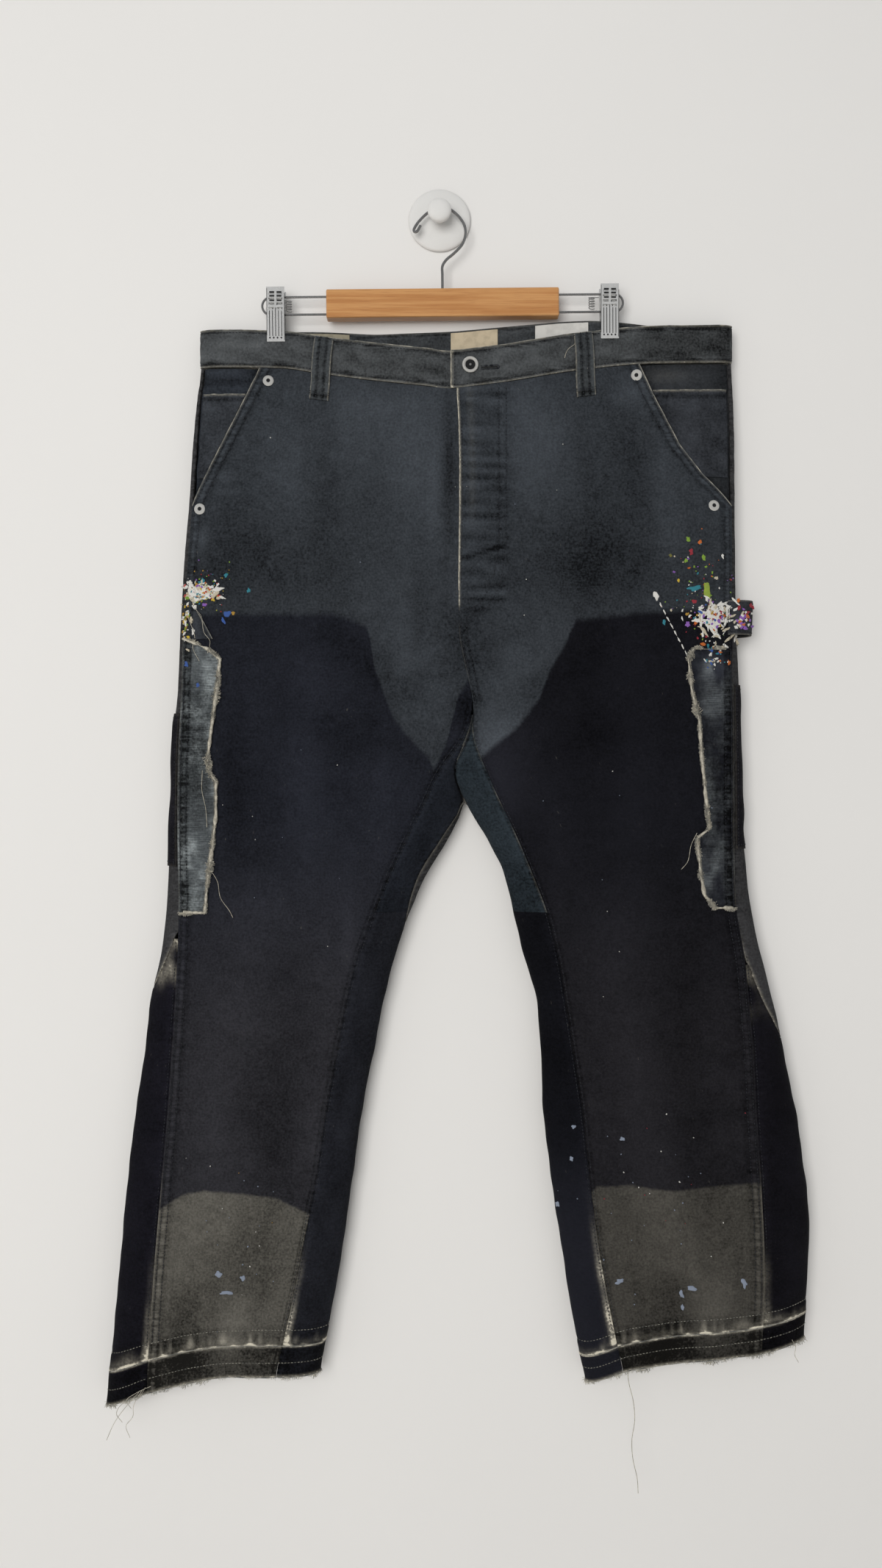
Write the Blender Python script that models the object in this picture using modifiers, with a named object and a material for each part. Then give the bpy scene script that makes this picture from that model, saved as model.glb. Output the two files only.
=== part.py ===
"""Worn carpenter trousers on a clip hanger and a wall hook, +Z up and the front facing -Y.

The tables and the sizes below are in millimetres and are scaled to metres when a mesh is made. Left and right
are as seen from the front: left is -X. The origin is the centre of the back face of the wall hook.
"""
import math
from collections import namedtuple

import bmesh
import bpy
from mathutils import Matrix, Vector
from mathutils.bvhtree import BVHTree

for item in list(bpy.data.objects):
    bpy.data.objects.remove(item, do_unlink=True)

MM = 0.001

# Cloth
CLOTH = 1.5               # thickness of one layer of canvas
SEAM_GAP = 0.3            # clearance where two pieces meet
LAY_GAP = 0.4             # clearance under a piece that lies on another
REMNANT_GAP = 0.7         # the remnants are stiff and stand off a little
FACING_GAP = 2.2          # clearance behind the pocket's free edge
BAND_HEIGHT = 39.0
BAND_THICKNESS = 2.8
BAND_PROUD = 0.6          # how far the band stands in front of the panels
BAND_LAP_END = 12.0       # free end of the band's upper lap
BAND_UNDERLAP_END = 54.0
LOOP_WIDTH = 20.0
LOOP_THICKNESS = 2.0
LOOP_RISE = 2.6           # how far a belt loop stands off the band
CENTRE_BACK = 27.0

# Heights, from the top down
BAND_SEAM = -162.0
SLANT_END = -312.0
FRONT_CROTCH = -522.0
BACK_CROTCH = -624.0
GUSSET_SEAM = -738.0
DIP_END = -334.0          # where the sag of the waist has died out
HEM_SLOPE_START = -1000.0

WAIST_TILT = 0.0096       # the hanger hangs slightly higher on the right
WAIST_TILT_CENTRE = 30.0
WAIST_REACH = 190.0       # the waist's own plan fades out over this height
INNER_ROUND = 45.0
BACK_SEAM_ROUND = 20.0
SIDE_ROUND = 65.0         # how far in from the outer edge a back panel's columns follow the turn
SEAT_CLOSING = 64.0       # height over which the seat's seam draws in above the crotch
SEAT_OPENING = 76.0       # and over which it opens into the inner leg below it
TURN_SHARE = 0.4          # share of a back panel's columns on the outer turn
FACE_SHARE = 0.7          # and up to the inner turn

# One row for each section of a leg. side_seam and front_seam are on the front; back_inseam is the distance from
# the inner edge, positive on the front side and negative on the back side.
Section = namedtuple("Section", "height outer_edge side_seam front_seam inner_edge inner_y back_inseam")

LEFT_SECTIONS = [
    Section(-162, -252.0, -249.0, 18.0, 36.0, -38.0, 0.0),
    Section(-196, -257.0, -253.5, 20.0, 36.0, -38.0, 0.0),
    Section(-222, -259.0, -255.0, 20.5, 36.0, -38.0, 0.0),
    Section(-250, -261.0, -256.5, 21.0, 36.0, -38.0, 0.0),
    Section(-281, -263.0, -258.0, 21.0, 36.0, -38.0, 0.0),
    Section(-312, -265.0, -259.5, 21.0, 36.0, -38.0, 0.0),
    Section(-380, -270.0, -265.0, 20.0, 36.0, -38.0, 0.0),
    Section(-450, -274.0, -268.5, 20.0, 36.0, -38.0, 0.0),
    Section(-522, -277.0, -270.5, 36.0, 36.0, -38.0, 0.0),
    Section(-552, -281.5, -272.5, 27.0, 31.5, -35.5, 0.0),
    Section(-590, -282.5, -273.5, -1.5, 13.0, -25.0, 0.0),
    Section(-624, -283.5, -274.0, -17.0, 27.0, -12.0, 0.0),
    Section(-660, -284.5, -274.0, -35.0, 11.0, -15.0, 8.0),
    Section(-700, -286.0, -273.0, -54.0, -15.0, -18.5, 8.0),
    Section(-738, -288.0, -272.5, -69.0, -32.0, -20.0, 2.0),
    Section(-785, -294.0, -273.5, -86.0, -47.0, -20.0, -6.0),
    Section(-830, -305.0, -276.0, -97.0, -59.0, -20.0, -14.0),
    Section(-880, -309.5, -279.0, -106.0, -68.0, -20.0, -20.0),
    Section(-950, -321.0, -284.0, -119.0, -82.0, -20.0, -25.0),
    Section(-1020, -329.0, -290.0, -129.0, -92.0, -20.0, -28.0),
    Section(-1085, -336.0, -296.0, -142.0, -101.0, -20.0, -30.0),
    Section(-1150, -343.0, -301.0, -155.0, -112.0, -20.0, -32.0),
    Section(-1195, -348.0, -304.0, -165.0, -121.0, -20.0, -32.0),
    Section(-1222, -352.0, -304.5, -171.0, -126.0, -20.0, -32.0),
]

RIGHT_SECTIONS = [
    Section(-162, 309.0, 306.0, 18.0, 36.0, -38.0, 0.0),
    Section(-196, 310.5, 306.5, 20.0, 36.0, -38.0, 0.0),
    Section(-222, 311.5, 307.0, 20.5, 36.0, -38.0, 0.0),
    Section(-250, 312.0, 307.0, 21.0, 36.0, -38.0, 0.0),
    Section(-281, 312.0, 307.0, 21.0, 36.0, -38.0, 0.0),
    Section(-312, 311.5, 307.0, 21.0, 36.0, -38.0, 0.0),
    Section(-380, 312.0, 307.0, 20.0, 36.0, -38.0, 0.0),
    Section(-450, 313.0, 307.0, 20.0, 36.0, -38.0, 0.0),
    Section(-522, 316.0, 307.5, 36.0, 36.0, -38.0, 0.0),
    Section(-552, 317.5, 308.0, 34.0, 31.5, -35.5, 0.0),
    Section(-590, 318.5, 308.0, 48.5, 13.0, -25.0, 0.0),
    Section(-624, 319.5, 308.0, 64.0, 27.0, -12.0, 0.0),
    Section(-660, 320.5, 308.0, 81.5, 50.0, -15.0, -6.0),
    Section(-700, 324.0, 308.5, 98.0, 69.0, -18.5, -10.0),
    Section(-738, 329.0, 310.0, 113.0, 78.0, -20.0, -14.0),
    Section(-785, 338.5, 319.0, 124.0, 89.0, -20.0, -18.0),
    Section(-830, 351.5, 323.0, 131.5, 103.0, -20.0, -20.0),
    Section(-880, 362.5, 327.5, 139.5, 107.0, -20.0, -22.0),
    Section(-950, 376.0, 331.0, 150.0, 109.0, -20.0, -25.0),
    Section(-1020, 387.0, 335.5, 157.0, 118.0, -20.0, -28.0),
    Section(-1085, 391.0, 338.5, 167.0, 129.0, -20.0, -30.0),
    Section(-1140, 388.0, 339.0, 178.0, 140.0, -20.0, -32.0),
    Section(-1180, 385.5, 337.0, 186.0, 148.5, -20.0, -32.0),
    Section(-1206, 384.5, 335.5, 192.0, 155.0, -20.0, -32.0),
]

# The flare insert's back seam, as a distance from the outer edge: positive on the front side.
Flare = namedtuple("Flare", "height back_seam")
LEFT_FLARE = [Flare(-758, 16.0), Flare(-785, 9.0), Flare(-830, -3.0), Flare(-880, -15.0), Flare(-950, -25.0),
              Flare(-1020, -32.0), Flare(-1222, -45.0)]
RIGHT_FLARE = [Flare(-785, 19.5), Flare(-830, 13.0), Flare(-880, -3.0), Flare(-950, -18.0),
               Flare(-1020, -28.0), Flare(-1206, -45.0)]

# The free edge of each front panel at the slant pocket.
Slant = namedtuple("Slant", "height edge")
LEFT_SLANT = [Slant(-162, -190.0), Slant(-250, -231.0), Slant(-312, -259.5)]
RIGHT_SLANT = [Slant(-162, 211.0), Slant(-196, 226.0), Slant(-250, 253.0), Slant(-281, 276.0),
               Slant(-312, 307.0)]

# How far the hem line lies above or below its section, across each leg.
Hem = namedtuple("Hem", "across rise")
LEFT_HEM = [Hem(-356, -38.0), Hem(-306, -16.0), Hem(-228, 1.0), Hem(-126, 0.0)]
RIGHT_HEM = [Hem(154, -28.0), Hem(193, -9.0), Hem(257, 0.0), Hem(328, 7.0), Hem(386, 21.0)]

# Depth of the flattened body: front and back faces, the side edge and the width over which a side rounds.
Depth = namedtuple("Depth", "height front back edge edge_round")
DEPTHS = [
    Depth(-162, -31.0, -9.0, -15.0, 14.0),
    Depth(-250, -34.0, -5.5, -18.0, 30.0),
    Depth(-380, -37.0, -4.5, -20.0, 42.0),
    Depth(-522, -38.0, -4.5, -20.0, 45.0),
    Depth(-738, -37.0, -4.5, -20.0, 45.0),
    Depth(-950, -36.0, -4.5, -20.0, 42.0),
    Depth(-1222, -38.0, -4.5, -20.0, 42.0),
]

# The waist seen from above: pinched at the two clips and bowed open between them; dip and rise move its edge.
Waist = namedtuple("Waist", "across front back dip rise")
WAIST = [
    Waist(-252, -20.5, -10.0, 0.0, 0.0),
    Waist(-215, -20.5, -10.0, 0.0, 0.0),
    Waist(-189, -18.2, -11.6, 0.0, 0.0),
    Waist(-160, -18.2, -11.6, -1.0, 0.0),
    Waist(-120, -24.0, -10.0, -10.0, 0.0),
    Waist(-69, -31.0, -6.5, -19.0, -2.0),
    Waist(14, -36.0, -5.5, -30.0, 1.0),
    Waist(66, -33.0, -6.0, -23.0, 5.0),
    Waist(132, -24.0, -9.5, -9.5, 9.0),
    Waist(164, -18.2, -11.6, -4.0, 9.0),
    Waist(194, -18.2, -11.6, -1.0, 6.5),
    Waist(225, -20.5, -10.0, 0.0, 3.0),
    Waist(262, -20.5, -10.0, 0.0, 0.0),
    Waist(309, -20.5, -10.0, 0.0, 0.0),
]
DIP_LIFT = 0.6            # the band sits this much above its own tilt line

# The largest soft folds, as lines with a width and a height: a ridge is positive and a trough negative.
Fold = namedtuple("Fold", "x_top h_top x_low h_low width height")
FRONT_FOLDS = [
    Fold(21, -400, 30, -505, 30, -2.0),
    Fold(0, -508, -165, -440, 22, -1.6),
    Fold(-10, -560, -190, -520, 24, -1.4),
    Fold(62, -512, 205, -445, 22, -1.6),
    Fold(75, -585, 220, -540, 24, -1.4),
    Fold(-195, -640, -235, -1150, 30, 1.8),
    Fold(-140, -660, -190, -1180, 24, -1.6),
    Fold(165, -650, 250, -1150, 30, 1.8),
    Fold(235, -640, 300, -1150, 24, -1.6),
    Fold(-262, -1110, -266, -1235, 20, -2.6),
    Fold(-215, -1130, -214, -1235, 18, 2.0),
    Fold(238, -1100, 236, -1220, 20, -2.6),
    Fold(290, -1110, 292, -1220, 20, 2.0),
]
BACK_FOLDS = [
    Fold(27, -430, 27, -600, 34, -1.6),
    Fold(-10, -600, -170, -540, 26, -1.4),
    Fold(65, -600, 215, -545, 26, -1.4),
    Fold(-180, -680, -235, -1150, 30, -1.6),
    Fold(190, -680, 270, -1150, 30, -1.6),
    Fold(-240, -1110, -244, -1235, 20, 1.6),
    Fold(262, -1100, 264, -1220, 20, 1.6),
]

LEFT, RIGHT = -1, 1
SECTIONS = {LEFT: LEFT_SECTIONS, RIGHT: RIGHT_SECTIONS}
FLARES = {LEFT: LEFT_FLARE, RIGHT: RIGHT_FLARE}
SLANTS = {LEFT: LEFT_SLANT, RIGHT: RIGHT_SLANT}
HEMS = {LEFT: LEFT_HEM, RIGHT: RIGHT_HEM}
WORD = {LEFT: "left", RIGHT: "right"}


# ---------------------------------------------------------------- tables and curves

def read(table, name, value):
    """The named column at a value of the first column, straight between rows and level past the ends."""
    rows = sorted(table)
    value = min(max(value, rows[0][0]), rows[-1][0])
    for low, high in zip(rows, rows[1:]):
        if value <= high[0]:
            share = (value - low[0]) / (high[0] - low[0])
            return getattr(low, name) * (1 - share) + getattr(high, name) * share
    return getattr(rows[-1], name)


def ease(share):
    share = min(max(share, 0.0), 1.0)
    return share * share * (3 - 2 * share)


def rounded(distance, reach, power=2.0):
    """0 at an edge and 1 from the given reach inwards, along a quarter of a superellipse."""
    share = min(max(distance / reach, 0.0), 1.0)
    return (1 - (1 - share) ** power) ** (1 / power)


def fold_height(folds, x, height):
    total = 0.0
    for fold in folds:
        run_x = fold.x_low - fold.x_top
        run_h = fold.h_low - fold.h_top
        length = math.hypot(run_x, run_h)
        along = ((x - fold.x_top) * run_x + (height - fold.h_top) * run_h) / length
        aside = ((x - fold.x_top) * run_h - (height - fold.h_top) * run_x) / length
        ends = ease(along / 40 + 0.5) * ease((length - along) / 40 + 0.5)
        total += fold.height * math.exp(-(aside / fold.width) ** 2) * ends
    return total


# ---------------------------------------------------------------- the garment's outer face

def seam_sharpness(height):
    return 1.2 + 0.8 * ease((FRONT_CROTCH - height) / (FRONT_CROTCH - BACK_CROTCH))


def front_depth(side, x, height):
    waist_share = 1 - ease((BAND_SEAM - height) / WAIST_REACH)
    flat = read(DEPTHS, "front", height) * (1 - waist_share) + read(WAIST, "front", x) * waist_share
    outer = abs(x - read(SECTIONS[side], "outer_edge", height))
    edge = read(DEPTHS, "edge", height)
    y = edge + (flat - edge) * rounded(outer, read(DEPTHS, "edge_round", height))
    fade = rounded(outer, 30)
    if height < FRONT_CROTCH:
        inner = abs(x - read(SECTIONS[side], "inner_edge", height))
        inner_y = read(SECTIONS[side], "inner_y", height)
        y = inner_y + (y - inner_y) * rounded(inner, INNER_ROUND, seam_sharpness(height))
        fade *= rounded(inner, 30)
    return y - fold_height(FRONT_FOLDS, x, height) * fade


def back_depth(side, x, height):
    waist_share = 1 - ease((BAND_SEAM - height) / WAIST_REACH)
    flat = read(DEPTHS, "back", height) * (1 - waist_share) + read(WAIST, "back", x) * waist_share
    outer = abs(x - read(SECTIONS[side], "outer_edge", height))
    edge = read(DEPTHS, "edge", height)
    y = edge + (flat - edge) * rounded(outer, read(DEPTHS, "edge_round", height))
    fade = rounded(outer, 30)
    if height > BACK_CROTCH:
        closing = ease((BACK_CROTCH + SEAT_CLOSING - height) / SEAT_CLOSING)
        inner = abs(x - CENTRE_BACK)
        inner_y = y * (1 - closing) + read(SECTIONS[side], "inner_y", BACK_CROTCH) * closing
        y = inner_y + (y - inner_y) * rounded(inner, BACK_SEAM_ROUND, seam_sharpness(height))
    else:
        inner = abs(x - read(SECTIONS[side], "inner_edge", height))
        inner_y = read(SECTIONS[side], "inner_y", height)
        opening = ease((BACK_CROTCH - height) / SEAT_OPENING)
        reach = BACK_SEAM_ROUND * (1 - opening) + INNER_ROUND * opening
        y = inner_y + (y - inner_y) * rounded(inner, reach)
        fade *= rounded(inner, 30)
    return y + fold_height(BACK_FOLDS, x, height) * fade


def true_height(side, x, height, column):
    """A section's own height moved by the sag of the waist and the slope of the hem."""
    sag = DIP_LIFT + WAIST_TILT * (x - WAIST_TILT_CENTRE) + read(WAIST, column, x)
    sag *= ease((height - DIP_END) / (BAND_SEAM - DIP_END))
    lowest = SECTIONS[side][-1].height
    slope = read(HEMS[side], "rise", x) * ease((HEM_SLOPE_START - height) / (HEM_SLOPE_START - lowest))
    return height + sag + slope


def front_point(side, x, height):
    return Vector((x, front_depth(side, x, height), true_height(side, x, height, "dip")))


def back_point(side, x, height):
    return Vector((x, back_depth(side, x, height), true_height(side, x, height, "rise")))


def round_outer(side, bend, height):
    """A point near the outer edge; bend is the root of its distance, positive on the front."""
    x = read(SECTIONS[side], "outer_edge", height) - side * bend * bend
    return front_point(side, x, height) if bend >= 0 else back_point(side, x, height)


def round_inner(side, bend, height):
    """A point near the inner edge of a leg, or near the centre back above the crotch."""
    if height > BACK_CROTCH and bend < 0:
        return back_point(side, CENTRE_BACK + side * bend * bend, height)
    x = read(SECTIONS[side], "inner_edge", height) + side * bend * bend
    return front_point(side, x, height) if bend >= 0 else back_point(side, x, height)


def signed_root(distance):
    return math.copysign(math.sqrt(abs(distance)), distance)


def mix(low, high, share):
    return low * (1 - share) + high * share


# ---------------------------------------------------------------- the rows of each panel

def side_seam(side, height):
    return read(SECTIONS[side], "side_seam", height)


def front_edge(side, height):
    """The outer boundary of a front panel: the slant pocket's free edge, then the side seam."""
    if height > SLANT_END:
        return read(SLANTS[side], "edge", height)
    return side_seam(side, height)


def front_panel(side, share, height):
    return front_point(side, mix(front_edge(side, height), read(SECTIONS[side], "front_seam", height), share),
                       height)


def outer_start(side, height):
    """Where a back panel begins, as a distance from the outer edge."""
    on_seam = abs(read(SECTIONS[side], "outer_edge", height) - side_seam(side, height))
    if height >= FLARES[side][0].height:
        return on_seam
    return read(FLARES[side], "back_seam", height)


def back_panel(side, share, height):
    """From the side seam round the outer edge, across the back and to the centre back or the back inseam."""
    turn = math.sqrt(INNER_ROUND)
    wide_turn = math.sqrt(SIDE_ROUND)
    first = signed_root(outer_start(side, height))
    if share <= TURN_SHARE:
        return round_outer(side, mix(first, -wide_turn, share / TURN_SHARE), height)
    if height > BACK_CROTCH:
        last = 0.0
        near = CENTRE_BACK + side * turn * turn
    else:
        last = signed_root(read(SECTIONS[side], "back_inseam", height))
        near = read(SECTIONS[side], "inner_edge", height) + side * turn * turn
    if share <= FACE_SHARE:
        far = read(SECTIONS[side], "outer_edge", height) - side * SIDE_ROUND
        return back_point(side, mix(far, near, (share - TURN_SHARE) / (FACE_SHARE - TURN_SHARE)), height)
    bend = mix(-turn, last, (share - FACE_SHARE) / (1 - FACE_SHARE))
    if height > BACK_CROTCH:
        return back_point(side, CENTRE_BACK + side * bend * bend, height)
    return round_inner(side, bend, height)


def inner_panel(side, share, height):
    """The gusset above and the insert below: from the front inseam round the inner edge."""
    rows = SECTIONS[side]
    first = math.sqrt(abs(read(rows, "front_seam", height) - read(rows, "inner_edge", height)))
    last = signed_root(read(SECTIONS[side], "back_inseam", height)) if height < BACK_CROTCH else 0.0
    return round_inner(side, mix(first, last, share), height)


def flare_panel(side, share, height):
    """From the front side seam round the outer edge to the back side seam."""
    outer = read(SECTIONS[side], "outer_edge", height)
    first = math.sqrt(abs(outer - side_seam(side, height)))
    return round_outer(side, mix(first, signed_root(outer_start(side, height)), share), height)


def pocket_facing(side, share, height):
    inner = read(SLANTS[side], "edge", height) - side * 13.0
    return front_point(side, mix(side_seam(side, height), inner, share), height)


# ---------------------------------------------------------------- building

def material(name, colour, roughness, metallic=0.0):
    made = bpy.data.materials.new(name)
    made.use_nodes = True
    shader = made.node_tree.nodes["Principled BSDF"]
    shader.inputs["Base Color"].default_value = (*colour, 1.0)
    shader.inputs["Roughness"].default_value = roughness
    shader.inputs["Metallic"].default_value = metallic
    return made


COLOURS = {
    "slate": (0.075, 0.085, 0.095),
    "charcoal": (0.035, 0.038, 0.045),
    "navy": (0.016, 0.018, 0.028),
    "blue_grey": (0.10, 0.125, 0.15),
    "pale_denim": (0.22, 0.25, 0.28),
    "beige": (0.55, 0.48, 0.36),
    "white": (0.82, 0.82, 0.80),
    "cream": (0.70, 0.66, 0.56),
    "honey": (0.46, 0.24, 0.10),
}

parts = bpy.data.collections.new("carpenter_trousers_on_hanger")
bpy.context.scene.collection.children.link(parts)
cutters = bpy.data.collections.new("cutters")
bpy.context.scene.collection.children.link(cutters)


def add_mesh(name, points, faces, finish):
    mesh = bpy.data.meshes.new(name)
    mesh.from_pydata([point * MM for point in points], [], faces)
    thing = bpy.data.objects.new(name, mesh)
    parts.objects.link(thing)
    mesh.materials.append(finish)
    return thing


def keep(thing, name, finish):
    """Names a primitive, moves it into the parts collection and gives it its material."""
    thing.name = name
    thing.data.name = name
    for home in list(thing.users_collection):
        home.objects.unlink(thing)
    parts.objects.link(thing)
    thing.data.materials.clear()
    thing.data.materials.append(finish)
    return thing


def loft_wall(name, skin, heights, shares, facing, finish, top=0.0, bottom=-CLOTH, pulls=(True, True),
              carrier=None):
    """A wall of cloth lofted through sections: skin(share, height) is its outer face.

    top and bottom are its two faces' distances from the skin; pulls draws each side edge back from its seam.
    """
    outer, inner = [], []
    for height in heights:
        row, normals = [], []
        for share in shares:
            low_share, high_share = max(share - 0.01, 0.0), min(share + 0.01, 1.0)
            across = skin(high_share, height) - skin(low_share, height)
            down = skin(share, height - 3) - skin(share, height + 3)
            normals.append(down.cross(across).normalized() * facing)
            row.append(skin(share, height))
        if pulls[0]:
            row[0] = row[0] + (row[1] - row[0]).normalized() * SEAM_GAP / 2
        if pulls[1]:
            row[-1] = row[-1] + (row[-2] - row[-1]).normalized() * SEAM_GAP / 2
        if carrier:
            row = [rest_on(carrier, point, normal) for point, normal in zip(row, normals)]
        outer += [point + normal * top for point, normal in zip(row, normals)]
        inner += [point + normal * bottom for point, normal in zip(row, normals)]
    return close_grid(name, outer, inner, len(heights), len(shares), facing, finish)


carriers = {}             # each wall's own surface, for what is laid on it


def rest_on(carrier, point, normal):
    """The point moved along the normal onto the carrier's outer face."""
    found = carriers[carrier].ray_cast(point + normal * 8, -normal, 16)[0]
    return point if found is None else found


def close_grid(name, outer, inner, rows, columns, facing, finish):
    """Joins two grids of points, outer and inner, into one closed wall."""
    faces = []
    shift = rows * columns

    def add(face):
        faces.append(face if facing > 0 else face[::-1])

    for row in range(rows - 1):
        for column in range(columns - 1):
            a = row * columns + column
            b, c, d = a + 1, a + columns + 1, a + columns
            add((a, d, c))
            add((a, c, b))
            add((a + shift, c + shift, d + shift))
            add((a + shift, b + shift, c + shift))
    for column in range(columns - 1):
        a, b = column, column + 1
        add((a, b, b + shift))
        add((a, b + shift, a + shift))
        a, b = a + (rows - 1) * columns, b + (rows - 1) * columns
        add((b, a, b + shift))
        add((a, a + shift, b + shift))
    for row in range(rows - 1):
        a, d = row * columns, (row + 1) * columns
        add((d, a, d + shift))
        add((a, a + shift, d + shift))
        a, d = a + columns - 1, d + columns - 1
        add((a, d, d + shift))
        add((a, d + shift, a + shift))
    carriers[name] = BVHTree.FromPolygons(outer + inner, faces)
    return add_mesh(name, outer + inner, faces, finish)


def heights_between(side, top, low):
    """The sections' own heights from top to low, with both ends."""
    inside = [section.height for section in SECTIONS[side] if low + 4 < section.height < top - 4]
    return [top] + inside + [low]


def even(count):
    return [step / count for step in range(count + 1)]


FRONT_SHARES = (0, 0.03, 0.08, 0.15, 0.24, 0.35, 0.47, 0.59, 0.70, 0.80, 0.90, 1)
TURN_COLUMNS = 6
BACK_SHARES = [step * TURN_SHARE / TURN_COLUMNS for step in range(TURN_COLUMNS)]
BACK_SHARES += [TURN_SHARE, 0.5, 0.6, FACE_SHARE, 0.775, 0.85, 0.925, 1]


def build_panels(side):
    word = WORD[side]
    lowest = SECTIONS[side][-1].height
    whole = heights_between(side, BAND_SEAM - SEAM_GAP * 2, lowest)
    flare_top = FLARES[side][0].height
    slate = material("canvas_front_" + word, COLOURS["slate"], 0.95)
    charcoal = material("canvas_back_" + word, COLOURS["charcoal"], 0.95)
    loft_wall("front_panel_" + word, lambda u, h: front_panel(side, u, h), whole, FRONT_SHARES, -side, slate)
    loft_wall("back_panel_" + word, lambda u, h: back_panel(side, u, h), whole, BACK_SHARES, side, charcoal)
    loft_wall("crotch_gusset_" + word, lambda u, h: inner_panel(side, u, h),
              heights_between(side, FRONT_CROTCH - 10, GUSSET_SEAM + SEAM_GAP / 2), even(5), -side,
              material("canvas_gusset_" + word, COLOURS["blue_grey"], 0.95))
    loft_wall("inner_insert_" + word, lambda u, h: inner_panel(side, u, h),
              heights_between(side, GUSSET_SEAM - SEAM_GAP / 2, lowest), even(5), -side,
              material("canvas_insert_" + word, COLOURS["navy"], 0.95))
    loft_wall("flare_insert_" + word, lambda u, h: flare_panel(side, u, h),
              heights_between(side, flare_top - 8, lowest), even(6), side,
              material("canvas_flare_" + word, COLOURS["navy"], 0.95))


# ---------------------------------------------------------------- the waistband

def band_columns():
    """Stations along the band, as (face, side, place, sink): from the upper lap round to the underlap.

    They are the panels' own columns, so that the seam closes, with one more on each side of a clip.
    """
    def front_places(side):
        seam = side_seam(side, BAND_SEAM)
        places = [front_panel(side, share, BAND_SEAM).x for share in FRONT_SHARES]
        places += [mix(seam, places[0], share) for share in even(3)[1:-1]]
        places += [HANGER_X + side * CLIP_X + offset for offset in (-CLIP_CLEAR, CLIP_CLEAR)]
        return sorted(places, key=abs)

    def back_places(side):
        places = [back_panel(side, share, BAND_SEAM).x for share in BACK_SHARES if share > TURN_SHARE]
        places += [HANGER_X + side * CLIP_X + offset for offset in (-CLIP_CLEAR, CLIP_CLEAR)]
        return sorted(places, key=abs, reverse=True)

    first_bend = signed_root(outer_start(RIGHT, BAND_SEAM))
    bends = [mix(first_bend, -math.sqrt(SIDE_ROUND), share) for share in even(TURN_COLUMNS)]
    columns = [("front", RIGHT, BAND_LAP_END, 0.0)]
    columns += [("front", RIGHT, place, 0.0) for place in front_places(RIGHT) if place > BAND_LAP_END + 8]
    columns += [("round", RIGHT, bend, 0.0) for bend in bends]
    columns += [("back", RIGHT, place, 0.0) for place in back_places(RIGHT)]
    columns += [("back", LEFT, place, 0.0) for place in back_places(LEFT)[-2::-1]]
    columns += [("round", LEFT, bend, 0.0) for bend in bends[::-1]]
    columns += [("front", LEFT, place, 0.0) for place in front_places(LEFT)[::-1] if place < -16]
    columns += [("front", LEFT, x, sink) for x, sink in ((-12.0, 0.0), (-3.0, 1.4), (6.0, 3.0), (14.0, 3.2))]
    columns += [("front", RIGHT, x, 3.2) for x in (33.0, BAND_UNDERLAP_END)]
    return columns


def band_point(face, side, place, height):
    if face == "round":
        return round_outer(side, place, height)
    point = front_point if face == "front" else back_point
    return point(side, place, height)


def skin_normal(face, side, place, height):
    """The outward normal of the garment's face, from small steps across and down."""
    step = 0.2 if face == "round" else 1.0
    across = band_point(face, side, place + step, height) - band_point(face, side, place - step, height)
    down = band_point(face, side, place, height - 2) - band_point(face, side, place, height + 2)
    normal = down.cross(across).normalized()
    if face == "front":
        return normal
    if face == "back":
        return -normal
    return normal * -side


def band_wall(columns):
    outer, inner = [], []
    heights = (BAND_SEAM + BAND_HEIGHT, BAND_SEAM + BAND_HEIGHT / 2, BAND_SEAM + SEAM_GAP / 2)
    for height in heights:
        for face, side, place, sink in columns:
            point = band_point(face, side, place, BAND_SEAM - 2)
            point.z = band_point(face, side, place, BAND_SEAM).z + height - BAND_SEAM
            normal = skin_normal(face, side, place, BAND_SEAM - 2)
            normal.z = 0
            normal.normalize()
            outer.append(point + normal * (BAND_PROUD - sink))
            inner.append(point + normal * (BAND_PROUD - sink - BAND_THICKNESS))
    return outer, inner, len(heights)


def build_waistband():
    columns = band_columns()
    outer, inner, rows = band_wall(columns)
    close_grid("waistband", outer, inner, rows, len(columns), 1,
               material("canvas_waistband", COLOURS["slate"], 0.95))


# ---------------------------------------------------------------- what is sewn on the panels

def with_sections(side, rows):
    """The rows, and one more wherever a section of the panel lies between two of them."""
    heights = [section.height for section in SECTIONS[side]]
    filled = []
    for high, low in zip(rows, rows[1:]):
        filled.append(high)
        for height in heights:
            if low[0] + 3 < height < high[0] - 3:
                share = (high[0] - height) / (high[0] - low[0])
                filled.append((height, mix(high[1], low[1], share), mix(high[2], low[2], share)))
    return filled + [rows[-1]]


def lay_on(name, carrier, face, side, rows, thickness, finish, gap=LAY_GAP, columns=4):
    """A piece that lies on a panel: each row is (height, first x, last x), moved out along the normal."""
    outer, inner = [], []
    rows = with_sections(side, rows)
    for height, first, last in rows:
        for share in even(columns):
            x = mix(first, last, share)
            point = band_point(face, side, x, height)
            normal = skin_normal(face, side, x, height)
            if carrier:
                point = rest_on(carrier, point, normal)
            inner.append(point + normal * gap)
            outer.append(point + normal * (gap + thickness))
    rightwards = rows[0][2] > rows[0][1]
    facing = 1 if (face == "front") == rightwards else -1
    return close_grid(name, outer, inner, len(rows), columns + 1, facing, finish)


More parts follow.
